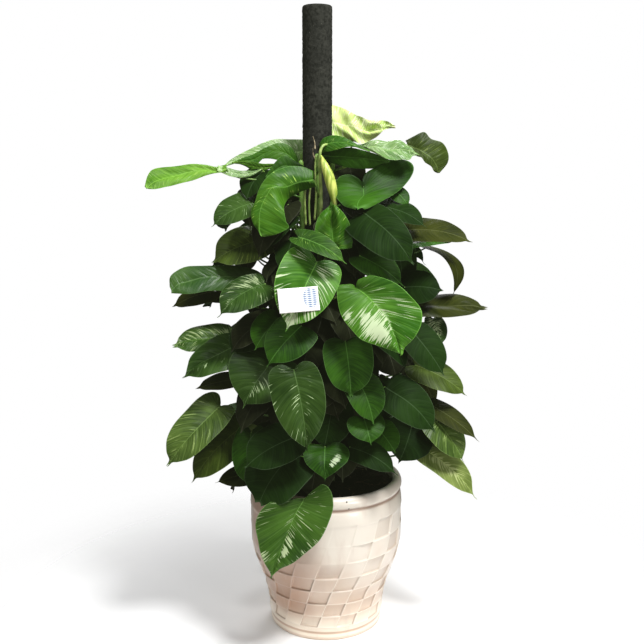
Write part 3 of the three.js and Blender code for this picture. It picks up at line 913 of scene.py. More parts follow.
# Smaller leaves between them, which the frame leaves out.
MORE_LEAVES = [
    ("top_left_fold", (-65, 5, 1125), (-235, -10, 1130), 45, -10, 30, "bright", 0.05, 5, 40),
    ("top_left_low", (-115, -15, 1130), (-235, -10, 1135), 25, -10, 30, "young", 0.05, 5, 40),
    ("top_left_band", (-165, -40, 1125), (-275, -60, 1120), 20, -10, 30, "pale", 0.05, 5, 40),
    ("top_left_bump", (-55, -30, 1125), (-150, -55, 1100), 45, -10, 30, "green", 0.05, 5, 40),
    ("top_right_lobe", (-20, -40, 1160), (110, -60, 1160), 35, 0, 30, "bright", 0.05, 5, 40),
    ("top_right_under", (-20, -40, 1150), (160, -40, 1140), 45, 0, 10, "green", 0.05, 5, 40),
    ("right_green", (185, -70, 960), (295, -100, 965), 60, 10, 60, "green", 0.08),
    ("dark_right_top", (125, -60, 1045), (225, -100, 1000), 80, 10, 50, "dark", 0.10, 6),
    ("small_right", (160, -40, 1080), (190, -60, 1045), 45, 20, 20, "green", 0.10, 6),
    ("block_right", (185, -60, 855), (270, -80, 850), 85, 10, 25, "dark", 0.10, 6),
    ("small_gloss", (255, -60, 780), (270, -90, 720), 55, 20, 30, "glossy"),
    ("left_dark", (-150, -30, 1123), (-184, -60, 1059), 80, -30, 20, "dark"),
    ("left_brown_a", (-270, -20, 840), (-365, -30, 805), 70, -20, 50, "olive", 0.06),
    ("left_brown_b", (-200, 0, 830), (-295, -20, 815), 55, -20, 50, "olive", 0.06),
    ("bright_small", (-61, -178, 982), (40, -205, 928), 56, 0, 45, "mottled", 0.08, 16, 50),
    ("mid_right_up", (76, -130, 936), (169, -165, 874), 80, 5, 45, "green"),
    ("centre_left", (-110, -140, 795), (-160, -175, 730), 85, -15, 30, "green"),
    ("dark_left", (-150, -90, 775), (-220, -120, 710), 100, -25, 30, "dark"),
    ("right_end_small", (240, -20, 620), (260, -40, 565), 55, 30, 20, "olive"),
    ("centre_c", (86, -175, 569), (100, -215, 520), 88, 5, 50, "green", 0.10, 10),
    ("centre_dark", (15, -120, 590), (-5, -150, 490), 105, 0, 25, "dark"),
    ("left_brown_c", (-220, 0, 620), (-315, -20, 600), 60, -30, 50, "olive", 0.05, 6),
    ("low_left_narrow", (-175, -140, 525), (-180, -170, 405), 85, -20, 20, "green", 0.08),
    ("low_left_tip", (-165, -90, 410), (-260, -120, 395), 70, -25, 50, "olive", 0.06, 6, 30),
    ("rim_dark", (-79, -165, 478), (-151, -222, 385), 150, -15, 30, "dark", 0.10, 8, 40),
    ("low_right_small", (120, -120, 530), (160, -150, 480), 75, 10, 35, "green"),
    ("low_dark", (205, -80, 520), (172, -122, 446), 122, 15, 30, "dark"),
    ("olive_low", (250, -60, 571), (355, -125, 501), 62, 25, 45, "olive", 0.08, 6),
    # The gap leaves in the shade look fill holes between the others with painted shade.
    ("gap_right_a", (125, -30, 735), (167, -60, 636), 110, 10, 30, "shade"),
    ("gap_right_b", (184, -10, 768), (207, -40, 670), 100, 20, 30, "shade"),
    ("gap_left", (-157, -10, 606), (-186, -40, 495), 110, -20, 30, "shade"),
    ("gap_top", (48, 0, 1160), (66, -18, 1072), 80, 10, 30, "shade"),
    ("gap_right_c", (182, -20, 701), (210, -40, 631), 66, 10, 30, "shade"),
    ("gap_left_b", (-104, -40, 993), (-111, -60, 938), 44, -10, 30, "shade"),
    ("gap_left_c", (-182, -20, 934), (-188, -40, 889), 44, -10, 30, "shade"),
    ("gap_right_e", (177, 0, 672), (216, -15, 610), 70, 10, 30, "shade"),
    ("gap_right_d", (170, -5, 966), (182, -20, 828), 92, 20, 30, "dark"),
    ("gap_top_left", (-101, 30, 1103), (-80, 15, 1003), 64, -10, 30, "shade"),
    ("gap_left_d", (-189, 0, 1075), (-179, -15, 991), 60, -20, 30, "shade"),
    ("light_low", (257, -88, 544), (324, -118, 448), 98, 30, 30, "ribbed", 0.06),
]
# Young leaves and a few large ones aren't flat. Their blades are given by how far the left and
# the right half lean towards the show side, then by stations from the joint to the tip: the left
# edge (x, z), the midrib (x, depth, z) and the right edge (x, z), as one looks at the upper face.
# An edge point with its own depth has it in the middle, as the midrib has.
SHAPES = {
    "leaf_heart_top": (0, -0.45, [
        ((80, 1095), (85, -66, 1090), (90, 1100)),
        ((70, 1110), (85, -68, 1085), (95, 1125)),
        ((40, 1115), (85, -72, 1085), (135, 1145)),
        ((20, 1100), (85, -78, 1080), (175, 1150)),
        ((20, 1080), (85, -88, 1070), (205, 1135)),
        ((25, 1060), (75, -104, 1060), (180, 1090)),
        ((40, 1050), (70, -122, 1050), (135, 1060)),
        ((65, 1040), (70, -140, 1040), (85, 1040)),
    ]),
    "leaf_top_front_left": (-0.5, -0.4, [
        ((-30, 1125), (-30, -80, 1105), (-25, 1090)),
        ((-55, 1135), (-60, -92, 1100), (-40, -66, 1085)),
        ((-90, 1135), (-90, -108, 1090), (-65, -70, 1075)),
        ((-125, 1120), (-120, -120, 1090), (-85, -84, 1065)),
        ((-150, 1090), (-135, -126, 1070), (-95, -112, 1050)),
        ((-160, 1060), (-145, -132, 1050), (-95, -138, 1040)),
        ((-170, 1035), (-150, -136, 1030), (-90, -146, 1015)),
        ((-165, 1010), (-150, -140, 1010), (-85, -146, 1000)),
        ((-155, 995), (-150, -142, 995), (-115, -146, 985)),
        ((-145, 980), (-145, -142, 980), (-140, 980)),
    ]),
    "leaf_top_far_left": (-0.7, 0.7, [
        ((-230, 1140), (-230, -60, 1130), (-230, 1125)),
        ((-255, 1135), (-250, -60, 1125), (-250, 1120)),
        ((-280, 1140), (-275, -62, 1125), (-275, 1115)),
        ((-315, 1140), (-310, -66, 1125), (-305, 1105)),
        ((-355, 1135), (-345, -74, 1115), (-340, 1095)),
        ((-395, 1130), (-380, -82, 1105), (-365, 1090)),
        ((-410, 1115), (-400, -88, 1095), (-390, 1085)),
        ((-415, 1090), (-410, -92, 1085), (-405, 1085)),
    ]),
    "leaf_cream": (0.3, -0.3, [
        ((10, 1205), (10, 66, 1240), (10, 1285)),
        ((40, 1200), (40, 66, 1235), (40, 1275)),
        ((65, 1195), (65, 62, 1230), (60, 1265)),
        ((85, 1190), (90, 58, 1220), (80, 1255)),
        ((110, 1200), (115, 52, 1225), (105, 1245)),
        ((130, 1210), (135, 42, 1225), (130, 1245)),
        ((145, 1225), (150, 34, 1230), (150, 1240)),
        ((165, 1225), (165, 28, 1230), (165, 1230)),
    ]),
    "leaf_top_right": (0.9, -0.9, [
        ((60, 1180), (60, -42, 1185), (60, 1190)),
        ((85, 1175), (85, -46, 1180), (85, 1185)),
        ((115, 1165), (110, -50, 1180), (110, 1195)),
        ((140, 1150), (135, -52, 1175), (140, 1195)),
        ((170, 1150), (165, -52, 1175), (170, 1195)),
        ((190, 1150), (190, -52, 1170), (195, 1180)),
        ((200, 1160), (205, -50, 1165), (205, 1170)),
        ((215, 1160), (215, -50, 1160), (215, 1160)),
    ]),
    "leaf_top_right_end": (0.4, -0.3, [
        ((200, 1175), (190, -22, 1185), (185, 1195)),
        ((205, 1170), (200, -24, 1180), (205, 1205)),
        ((210, 1160), (215, -26, 1175), (230, 1215)),
        ((220, 1155), (230, -30, 1165), (245, 1200)),
        ((230, 1145), (245, -32, 1155), (270, 1190)),
        ((245, 1135), (255, -32, 1140), (285, 1170)),
        ((250, 1125), (260, -32, 1130), (285, 1145)),
        ((260, 1120), (260, -30, 1120), (265, 1120)),
    ]),
    "leaf_top_left": (-0.4, 0.4, [
        ((-55, 1200), (-55, 56, 1170), (-55, 1145)),
        ((-90, 1200), (-85, 48, 1170), (-85, 1145)),
        ((-125, 1200), (-120, 40, 1175), (-115, 1150)),
        ((-155, 1190), (-150, 32, 1170), (-145, 1155)),
        ((-185, 1175), (-180, 24, 1160), (-175, 1150)),
        ((-215, 1160), (-210, 20, 1155), (-205, 1145)),
        ((-230, 1150), (-225, 16, 1145), (-225, 1140)),
        ((-240, 1140), (-240, 10, 1140), (-240, 1135)),
    ]),
    "leaf_big_streaked": (0.12, 0.12, [
        ((50, 880), (65, -190, 870), (70, 890)),
        ((25, 875), (75, -198, 865), (100, 900)),
        ((25, 840), (90, -208, 855), (150, 885)),
        ((35, 810), (105, -220, 840), (185, 855)),
        ((55, 785), (125, -230, 820), (205, 830)),
        ((75, 765), (135, -238, 805), (205, 800)),
        ((105, 755), (145, -246, 780), (190, 770)),
        ((135, 745), (155, -252, 755), (170, 750)),
        ((160, 735), (160, -256, 730), (165, 735)),
    ]),
    "leaf_over_rim": (0.12, 0.12, [
        ((-55, 395), (-45, -222, 395), (-40, 400)),
        ((-85, 395), (-50, -224, 395), (-10, 430)),
        ((-125, 390), (-55, -226, 385), (10, 415)),
        ((-150, 370), (-65, -230, 370), (15, 380)),
        ((-160, 340), (-75, -234, 350), (5, 345)),
        ((-155, 305), (-85, -238, 325), (-15, 305)),
        ((-150, 275), (-100, -240, 290), (-45, 275)),
        ((-140, 250), (-110, -244, 260), (-75, 250)),
        ((-130, 230), (-120, -244, 235), (-105, 235)),
        ((-125, 215), (-125, -244, 210), (-125, 215)),
    ]),
    "leaf_left_long": (-0.5, 0.6, [
        ((-145, 880), (-150, -50, 875), (-150, 865)),
        ((-170, 895), (-175, -52, 880), (-170, 855)),
        ((-210, 905), (-210, -56, 880), (-200, 850)),
        ((-250, 905), (-245, -62, 880), (-240, 850)),
        ((-290, 905), (-285, -70, 880), (-275, 850)),
        ((-325, 905), (-325, -78, 870), (-305, 845)),
        ((-350, 895), (-345, -84, 865), (-330, 845)),
        ((-365, 880), (-355, -88, 855), (-350, 845)),
        ((-365, 860), (-360, -90, 850), (-360, 845)),
    ]),
    "top_left_fold": (-0.3, 0.3, [
        ((-64, 1142), (-64, 10, 1134), (-64, 1128)),
        ((-72, 1164), (-74, 6, 1148), (-78, 1134)),
        ((-88, 1184), (-92, 2, 1164), (-100, 1144)),
        ((-112, 1190), (-116, -2, 1172), (-120, 1152)),
        ((-142, 1180), (-144, -6, 1166), (-152, 1152)),
        ((-172, 1164), (-172, -8, 1150), (-170, 1132)),
        ((-196, 1156), (-196, -8, 1148), (-194, 1142)),
        ((-222, 1144), (-222, -8, 1142), (-222, 1142)),
    ]),
    "top_left_low": (0.2, -0.2, [
        ((-118, 1142), (-118, -14, 1138), (-118, 1134)),
        ((-132, 1142), (-134, -16, 1134), (-138, 1128)),
        ((-150, 1142), (-154, -18, 1132), (-156, 1122)),
        ((-170, 1146), (-172, -18, 1136), (-172, 1122)),
        ((-186, 1148), (-186, -16, 1142), (-184, 1132)),
        ((-202, 1148), (-202, -14, 1144), (-202, 1140)),
        ((-222, 1146), (-222, -12, 1144), (-222, 1142)),
    ]),
    "top_left_band": (-0.5, 0.5, [
        ((-148, 1132), (-150, -40, 1130), (-150, 1128)),
        ((-166, 1126), (-166, -44, 1122), (-166, 1118)),
        ((-184, 1126), (-182, -48, 1118), (-182, 1112)),
        ((-202, 1126), (-202, -52, 1118), (-200, 1110)),
        ((-218, 1130), (-218, -56, 1122), (-218, 1112)),
        ((-232, 1134), (-232, -58, 1126), (-234, 1118)),
        ((-250, 1138), (-250, -60, 1132), (-252, 1126)),
    ]),
    "top_left_bump": (-0.3, 0.3, [
        ((-52, 1136), (-52, -30, 1132), (-52, 1128)),
        ((-68, 1146), (-68, -36, 1134), (-68, 1122)),
        ((-84, 1154), (-84, -42, 1136), (-84, 1118)),
        ((-100, 1160), (-100, -48, 1136), (-100, 1114)),
        ((-116, 1148), (-116, -52, 1128), (-114, 1110)),
        ((-130, 1130), (-128, -54, 1118), (-126, 1106)),
        ((-142, 1110), (-140, -56, 1110), (-138, 1106)),
    ]),
    "top_right_lobe": (0.4, -0.6, [
        ((-10, 1166), (-12, -40, 1170), (-14, 1176)),
        ((-4, 1168), (-12, -44, 1178), (-16, 1186)),
        ((8, 1170), (0, -50, 1186), (-6, 1200)),
        ((24, 1174), (18, -56, 1190), (14, 1206)),
        ((40, 1178), (36, -60, 1190), (34, 1204)),
        ((62, 1180), (58, -62, 1186), (56, 1194)),
        ((82, 1174), (80, -62, 1176), (80, 1180)),
        ((100, 1168), (100, -60, 1170), (100, 1172)),
    ]),
    "top_right_under": (-0.2, 0.4, [
        ((-10, 1154), (-12, -40, 1160), (-12, 1164)),
        ((0, 1148), (-4, -42, 1160), (-4, 1170)),
        ((16, 1142), (14, -44, 1158), (14, 1176)),
        ((36, 1136), (34, -46, 1158), (34, 1178)),
        ((60, 1132), (60, -46, 1156), (60, 1178)),
        ((88, 1130), (88, -44, 1154), (86, 1172)),
        ((116, 1132), (116, -42, 1150), (114, 1164)),
        ((148, 1146), (148, -40, 1148), (148, 1150)),
    ]),
}
# Where a leaf isn't of the usual build: how far its base lobes reach back, how fast it narrows
# towards the tip, how much wider its own left half is, and how wavy it is. On a blade that is
# given by stations only the last of these shows.
BUILDS = {
    "rim_dark": (0.5, 0.5, 0, 1),
    "leaf_card": (0.7, 1.2, 0.05, 1),
    "leaf_big_streaked": (1, 1, 0, 0.8),
    "leaf_centre_low": (0.5, 1.3, 0, 1),
    "leaf_low_centre": (0.7, 2.2, -0.1, 1.5),
    "leaf_dark_right": (0.4, 0.85, 0.16, 0.6),
    "leaf_centre_tip": (0.6, 0.75, 0, 0.6),
    "leaf_right_c": (0.3, 1.0, 0.05, 0.6),
    "leaf_left_mid": (0.6, 1.3, 0.1, 1),
    "leaf_left_streak": (0.3, 0.6, 0, 2),
    "leaf_left_tail": (0.5, 0.9, 0, 2),
    "leaf_left_ribbed": (0.8, 0.8, 0, 1),
    "leaf_left_marbled": (0.5, 1.25, 0, 1),
    "leaf_flat_right": (0.5, 0.6, 0, 2),
    "leaf_streaked_front": (0.7, 1.35, 0.1, 1.5),
    "leaf_mottled_front": (0.3, 1.3, 0, 3),
    "leaf_top_right_end": (1, 1, 0, 1.5),
    "leaf_top_right": (1, 1, 0, 2),
    "leaf_top_front_left": (1, 1, 0, 1.5),
    "leaf_top_far_left": (1, 1, 0, 1.6),
    "leaf_cream": (1, 1, 0, 2.5),
}
# The leaves of the back: bearing, reach of the joint from the pole's middle, height, droop, yaw,
# length, width, rise.
BACK_LEAVES = [
    (160, 120, 1120, 35, 10, 150, 130, 50),
    (118, 150, 1030, 40, -15, 160, 140, 60),
    (205, 155, 1035, 38, 12, 165, 140, 60),
    (165, 165, 930, 45, -10, 170, 145, 60),
    (243, 170, 935, 38, 15, 160, 135, 60),
    (122, 180, 825, 42, 12, 165, 140, 60),
    (198, 175, 820, 46, -12, 170, 145, 60),
    (155, 185, 715, 44, 14, 170, 145, 60),
    (232, 185, 710, 42, -14, 165, 140, 60),
    (112, 185, 605, 45, -12, 160, 135, 60),
    (186, 190, 600, 48, 10, 170, 145, 60),
    (143, 175, 500, 42, 12, 160, 135, 60),
    (218, 180, 495, 42, -10, 160, 140, 60),
    (255, 170, 440, 30, 12, 150, 125, 50),
]
BACK_LIFT = 45
BACK_ARCH = 0.12
BACK_FOLD = 9

# Each look: deep colour, light colour, streak colour (cream, and painted glints of light on the
# gloss), how much is streaked, roughness, gloss, height of the fine ribs and of the swells between
# side veins in millimetres, how much darker the blade is painted round its joint, as painted shade
# from the leaves above.
LOOKS = {
    # The shade look paints leaves as dark as they look deep inside the plant: painted shade.
    "shade": ((28, 31, 18), (44, 49, 28), (70, 80, 46), 0.00, 0.60, 0.04, 0.6, 0.3, 0.4),
    "dark": ((14, 34, 6), (31, 56, 15), (100, 130, 74), 0.00, 0.55, 0.03, 0.6, 0.4, 0.7),
    "green": ((22, 52, 6), (52, 96, 18), (200, 218, 180), 0.00, 0.45, 0.08, 0.8, 0.5, 0.8),
    "glossy": ((26, 50, 12), (58, 90, 30), (176, 194, 146), 0.14, 0.36, 0.20, 2.2, 0.7, 0.6),
    "bright": ((34, 80, 5), (66, 110, 22), (156, 190, 88), 0.10, 0.42, 0.14, 1.4, 0.7, 0.3),
    "young": ((62, 110, 22), (108, 154, 50), (160, 190, 96), 0.12, 0.40, 0.20, 1.6, 0.8, 0.2),
    "pale": ((86, 128, 64), (140, 172, 106), (208, 222, 186), 0.26, 0.34, 0.30, 2.0, 0.8, 0.2),
    "marbled": ((44, 76, 22), (78, 112, 40), (176, 196, 136), 0.22, 0.36, 0.25, 2.0, 0.8, 0.5),
    "streaked": ((46, 98, 16), (94, 150, 44), (216, 232, 190), 0.12, 0.40, 0.12, 1.6, 0.8, 0.5),
    "khaki": ((42, 58, 14), (76, 96, 30), (120, 138, 62), 0.10, 0.46, 0.12, 1.2, 0.8, 0.4),
    "ribbed": ((38, 60, 16), (88, 114, 46), (146, 168, 98), 0.14, 0.38, 0.20, 2.4, 1.2, 0.5),
    "olive": ((28, 36, 6), (54, 60, 14), (100, 96, 36), 0.00, 0.55, 0.06, 0.8, 0.7, 0.5),
    "feathered": ((36, 68, 14), (72, 110, 36), (190, 208, 160), 0.10, 0.40, 0.12, 1.8, 0.8, 0.7),
    "mottled": ((28, 60, 10), (66, 108, 30), (134, 166, 80), 0.16, 0.42, 0.07, 1.6, 0.6, 0.6),
    "dusky": ((26, 50, 12), (56, 84, 30), (176, 200, 148), 0.06, 0.40, 0.10, 1.8, 0.8, 0.6),
    "yellowed": ((86, 104, 42), (132, 148, 78), (170, 182, 120), 0.10, 0.42, 0.14, 1.6, 0.8, 0.2),
    "fresh": ((38, 76, 22), (72, 106, 44), (150, 176, 120), 0.00, 0.38, 0.22, 1.6, 0.8, 0.3),
    "cream": ((158, 196, 86), (222, 238, 152), (244, 250, 214), 0.34, 0.42, 0.18, 1.6, 0.6, 0.0),
}
# Where a leaf has whole fields of cream, some of them painted glints of light on the gloss: place
# from the joint to the tip, place from the midrib to the edge (the leaf's own left is above 0),
# reach of each, strength.
CREAM_AND_GLINT_FIELDS = {
    "leaf_big_streaked": [(0.68, 0.55, 0.13, 0.40, 0.36), (0.70, 0.00, 0.20, 0.10, 0.24),
                          (0.54, 0.50, 0.07, 0.22, 0.32), (0.40, 0.85, 0.04, 0.15, 0.32),
                          (0.50, -0.55, 0.20, 0.50, 0.07)],
    "leaf_card": [(0.55, -0.60, 0.22, 0.40, 0.16), (0.84, -0.10, 0.11, 1.20, 0.48),
                  (0.35, 0.60, 0.12, 0.40, 0.12)],
    "leaf_streaked_front": [(0.60, 0.50, 0.18, 0.50, 0.12), (0.68, -0.40, 0.16, 0.35, 0.08)],
    "leaf_over_rim": [(0.76, -0.30, 0.09, 0.20, 0.26), (0.50, 0.60, 0.20, 0.50, 0.05),
                      (0.62, -0.75, 0.20, 0.40, 0.10),
                      (0.72, 0.95, 0.07, 0.20, 0.26)],
    # The fields of small_gloss, leaf_low_centre, leaf_left_mid and leaf_left_marbled are painted
    # glints of light.
    "small_gloss": [(0.5, 0.2, 0.3, 0.6, 0.2)],
    "leaf_low_centre": [(0.55, -0.60, 0.10, 0.20, 0.44)],
    "leaf_left_mid": [(0.72, -0.30, 0.10, 0.35, 0.30)],
    "leaf_left_marbled": [(0.45, 0.35, 0.14, 0.40, 0.18), (0.80, -0.20, 0.08, 0.60, 0.16)],
    "leaf_left_streak": [(0.45, 0.50, 0.25, 0.40, 0.12)],
    "leaf_marbled_low": [(0.62, 0.10, 0.16, 0.50, 0.26)],
}


def leaning(place, rib, lean):
    """An edge point, nearer to the show side than its midrib point by lean times its reach,
    unless it comes with its own depth."""
    if len(place) == 3:
        return place
    return place[0], rib[1] - lean * math.dist(place, (rib[0], rib[2])), place[1]


class Leaf:
    """Where one leaf is, and its surface."""

    def __init__(self, name, joint, tip, width, turn, lift, look,
                 arch=USUAL_ARCH, fold=USUAL_FOLD, rise=USUAL_RISE):
        self.name = name
        self.joint = np.array(joint, dtype=float)
        self.width = width
        self.arch = arch
        self.fold = math.radians(fold)
        self.rise = rise
        self.look = look
        chord = np.array(tip, dtype=float) - self.joint
        self.length = float(np.linalg.norm(chord))
        self.along = chord / self.length
        aim = bearing(turn) * math.cos(math.radians(lift))
        aim[2] = math.sin(math.radians(lift))
        self.face = unit(aim - aim.dot(self.along) * self.along)
        self.side = np.cross(self.along, self.face)
        draw = random.Random(name)
        self.seed = draw.random()
        self.tone = draw.uniform(*TONES)
        self.sweep = draw.uniform(-SWEEP, SWEEP)
        usual_build = (1, draw.uniform(*TAPERS), 0, 1)
        self.lobe, self.taper, skew, self.wavy = BUILDS.get(name, usual_build)
        self.skew = draw.uniform(-SKEW, SKEW) + skew
        self.phase = draw.uniform(0, 6)
        self.wave = draw.uniform(0.7, 1.5) * EDGE_WAVE * self.wavy
        self.stations = None
        if name in SHAPES:
            left_lean, right_lean, stations = SHAPES[name]
            self.stations = np.array([(leaning(left, rib, left_lean), rib,
                                       leaning(right, rib, right_lean))
                                      for left, rib, right in stations], dtype=float)
            self.joint = self.stations[0, 1]
            self.length = float(np.linalg.norm(self.stations[-1, 1] - self.joint))
            self.width = float(np.linalg.norm(self.stations[3, 0] - self.stations[3, 2]))

    def surface(self, u, v, lift):
        """Points at u along the midrib as a part of the length and v across, raised by lift."""
        inside = np.clip(u, 0, 1)
        bow = 4 * self.arch * self.length
        hump = inside * (1 - inside)
        gain = ARCH_START + ARCH_GAIN * inside
        slope = bow * ((1 - 2 * inside) * gain + hump * ARCH_GAIN)
        height = bow * hump * gain + np.where(u < 0, slope * u, 0)
        normal = self.length * self.face - slope[..., None] * self.along
        normal = normal / np.linalg.norm(normal, axis=-1, keepdims=True)
        out = np.abs(v)
        rise = out * math.sin(self.fold) - EDGE_CURL * out * out / (self.width / 2) + lift
        aside = v * math.cos(self.fold) + 4 * self.sweep * self.length * hump
        return (self.joint
                + (u * self.length)[..., None] * self.along
                + height[..., None] * self.face
                + aside[..., None] * self.side
                + rise[..., None] * normal)


def spline(points, count):
    """Points at even steps along a smooth line through points."""
    points = np.asarray(points, dtype=float)
    places = np.linspace(0, len(points) - 1, count)
    ends = 2 * points[:1] - points[1:2], 2 * points[-1:] - points[-2:-1]
    points = np.concatenate([ends[0], points, ends[1]])
    first = np.minimum(places.astype(int), len(points) - 4)
    f = (places - first).reshape(-1, *[1] * (points.ndim - 1))
    a, b, c, d = (points[first + k] for k in range(4))
    return 0.5 * (2 * b + (c - a) * f + (2 * a - 5 * b + 4 * c - d) * f**2
                  + (3 * b - a - 3 * c + d) * f**3)


def shaped_blade(stations, rows, F, width):
    """For a leaf that is given by stations: a function from lift to points, and how far each
    point is from the midrib."""
    left, rib, right = spline(stations, rows).transpose(1, 0, 2)[:, :, None]
    t = np.linspace(0, 1, rows)
    leave = t - VEIN_LAG * np.sin(math.pi * t)
    rib = np.stack([np.interp(leave, t, rib[:, 0, k]) for k in range(3)], -1)[:, None]
    A = np.abs(F)[..., None]
    edge = np.where(F[..., None] > 0, left, right)
    forward = np.gradient(rib[:, 0], axis=0)[:, None] + 0.02 * (rib[-1] - rib[0])
    face = unit(np.cross((stations[3][0] - stations[3][2]), rib[-1, 0] - rib[0, 0]))
    normal = np.cross((edge - rib) * np.sign(F - 1e-9)[..., None], forward)
    normal = normal / (np.linalg.norm(normal, axis=-1, keepdims=True) + 1e-9) + SHAPED_FACING * face
    normal = normal / np.linalg.norm(normal, axis=-1, keepdims=True)
    base = rib + (edge - rib) * A + normal * BLADE_SWELL * width * A * (1 - A)
    across = np.linalg.norm(edge - rib, axis=-1) * F
    return (lambda lift: base + normal * lift[..., None]), across


def blade_grid(leaf, rows, columns):
    """Both faces of a blade, then for each point its place from joint to tip, its place from
    midrib to edge and its distance from the midrib."""
    t = np.linspace(0, 1, rows)
    start, across, reach = spline(OUTLINE, rows).T
    reach = np.where(reach < 0.05, reach * leaf.lobe, reach)
    across = np.where(reach > 0.3, across ** leaf.taper, across)
    out = np.append(np.linspace(0, 1, columns)[:-1] ** 0.9, (0.985, 1.0))
    f = np.concatenate([-out[:0:-1], out])
    T = np.broadcast_to(t[:, None], (rows, len(f)))
    F = np.broadcast_to(f[None], (rows, len(f)))
    A = np.abs(F)
    if leaf.stations is None:
        u = start[:, None] + (reach - start)[:, None] * (A - VEIN_BEND * np.sin(math.pi * A))
        v = across[:, None] * F * leaf.width / 2 * (1 + leaf.skew * np.sign(F))
        blade = functools.partial(leaf.surface, u, v)
    else:
        blade, v = shaped_blade(leaf.stations, rows, F, leaf.width)
    body = np.sin(math.pi * np.clip(T, 0, 1)) ** 0.5
    phase = np.where(F < 0, leaf.phase, leaf.phase + 2.1)
    waves = 0.7 * np.sin(4.6 * math.pi * T + phase) + 0.3 * np.sin(10.2 * math.pi * T - phase)
    lift = leaf.wave * leaf.width * A**2.2 * waves * body
    crumple = np.sin(9 * T + leaf.phase) * np.cos(4.2 * F + 5 * T) + np.sin(17 * T - 5 * F)
    lift = lift + (leaf.wavy - 1) * CRUMPLE * crumple * body
    at_vein = 0.5 + 0.5 * np.cos(2 * math.pi * VEIN_COUNT * T**0.8)
    lift = lift - LOOKS[leaf.look][7] * at_vein**3 * np.sin(math.pi * A**0.8) * body
    rib = np.exp(-((v / RIB_WIDTH) ** 2)) * (1 - T)
    half = BLADE_THICKNESS / 2 * (1 - 0.6 * A**6)
    upper = blade(lift - RIB_DEPTH * rib + half)
    under = blade(lift - (RIB_DEPTH + RIB_BELOW) * rib - half)
    return upper, under, T, F, v


def sheet_faces(rows, columns):
    """For a thin sheet, the faces of its front, of its back and of its four edges. The points
    of the back follow those of the front."""
    top = np.arange(rows * columns).reshape(rows, columns)
    low = top + top.size
    parts = [(top[:-1, :-1], top[:-1, 1:], top[1:, 1:], top[1:, :-1]),
             (low[:-1, :-1], low[1:, :-1], low[1:, 1:], low[:-1, 1:]),
             (top[:-1, 0], top[1:, 0], low[1:, 0], low[:-1, 0]),
             (top[:-1, -1], low[:-1, -1], low[1:, -1], top[1:, -1]),
             (top[0, :-1], low[0, :-1], low[0, 1:], top[0, 1:]),
             (top[-1, :-1], top[-1, 1:], low[-1, 1:], low[-1, :-1])]
    return [face for part in parts for face in np.stack(part, -1).reshape(-1, 4).tolist()]


def blade_mesh(leaf, grid):
    """A blade's points and faces, then for each point: its place in the blade and whether it is
    on the upper face, its distance from the midrib, and its share of cream and of painted glints."""
    upper, under, T, F, v = blade_grid(leaf, *grid)
    points = np.concatenate([upper.reshape(-1, 3), under.reshape(-1, 3)])
    shown = np.concatenate([np.ones(T.size), np.zeros(T.size)])
    vein = np.stack([np.tile(T.ravel(), 2), np.tile(F.ravel(), 2), shown], -1)
    cream = np.zeros(T.shape)
    for t, f, t_reach, f_reach, strength in CREAM_AND_GLINT_FIELDS.get(leaf.name, ()):
        field = np.exp(-(((T - t) / t_reach) ** 2) - ((F - f) / f_reach) ** 2)
        cream = np.maximum(cream, strength * field)
    return points, sheet_faces(*T.shape), vein, np.tile(v.ravel(), 2), np.tile(cream.ravel(), 2)


def stalk_curve(leaf):
    """Points along a leaf's stalk, from its stem to the blade."""
    heading = math.atan2(leaf.joint[0] - POLE_X, -leaf.joint[1])
    _, angle, top = max(STEMS, key=lambda stem: math.cos(heading - math.radians(stem[1])))
    node = stem_point(angle, min(leaf.joint[2] - leaf.rise, top - 2 * STEM_RADIUS))
    outward = unit(np.array((node[0] - POLE_X, node[1], 0)))
    start = node + outward * (STEM_RADIUS + STALK_GAP)
    span = np.linalg.norm(start - leaf.joint)
    leave = start + outward * span * STALK_LEAVE + np.array((0, 0, span * STALK_CLIMB))
    arrive = leaf.joint - leaf.face * span * STALK_ARRIVE
    start = node + outward * STEM_RADIUS * 0.6
    s = np.linspace(0, 1, STALK_STEPS)[:, None]
    return ((1 - s)**3 * start + 3 * (1 - s)**2 * s * leave
            + 3 * (1 - s) * s**2 * arrive + s**3 * leaf.joint)


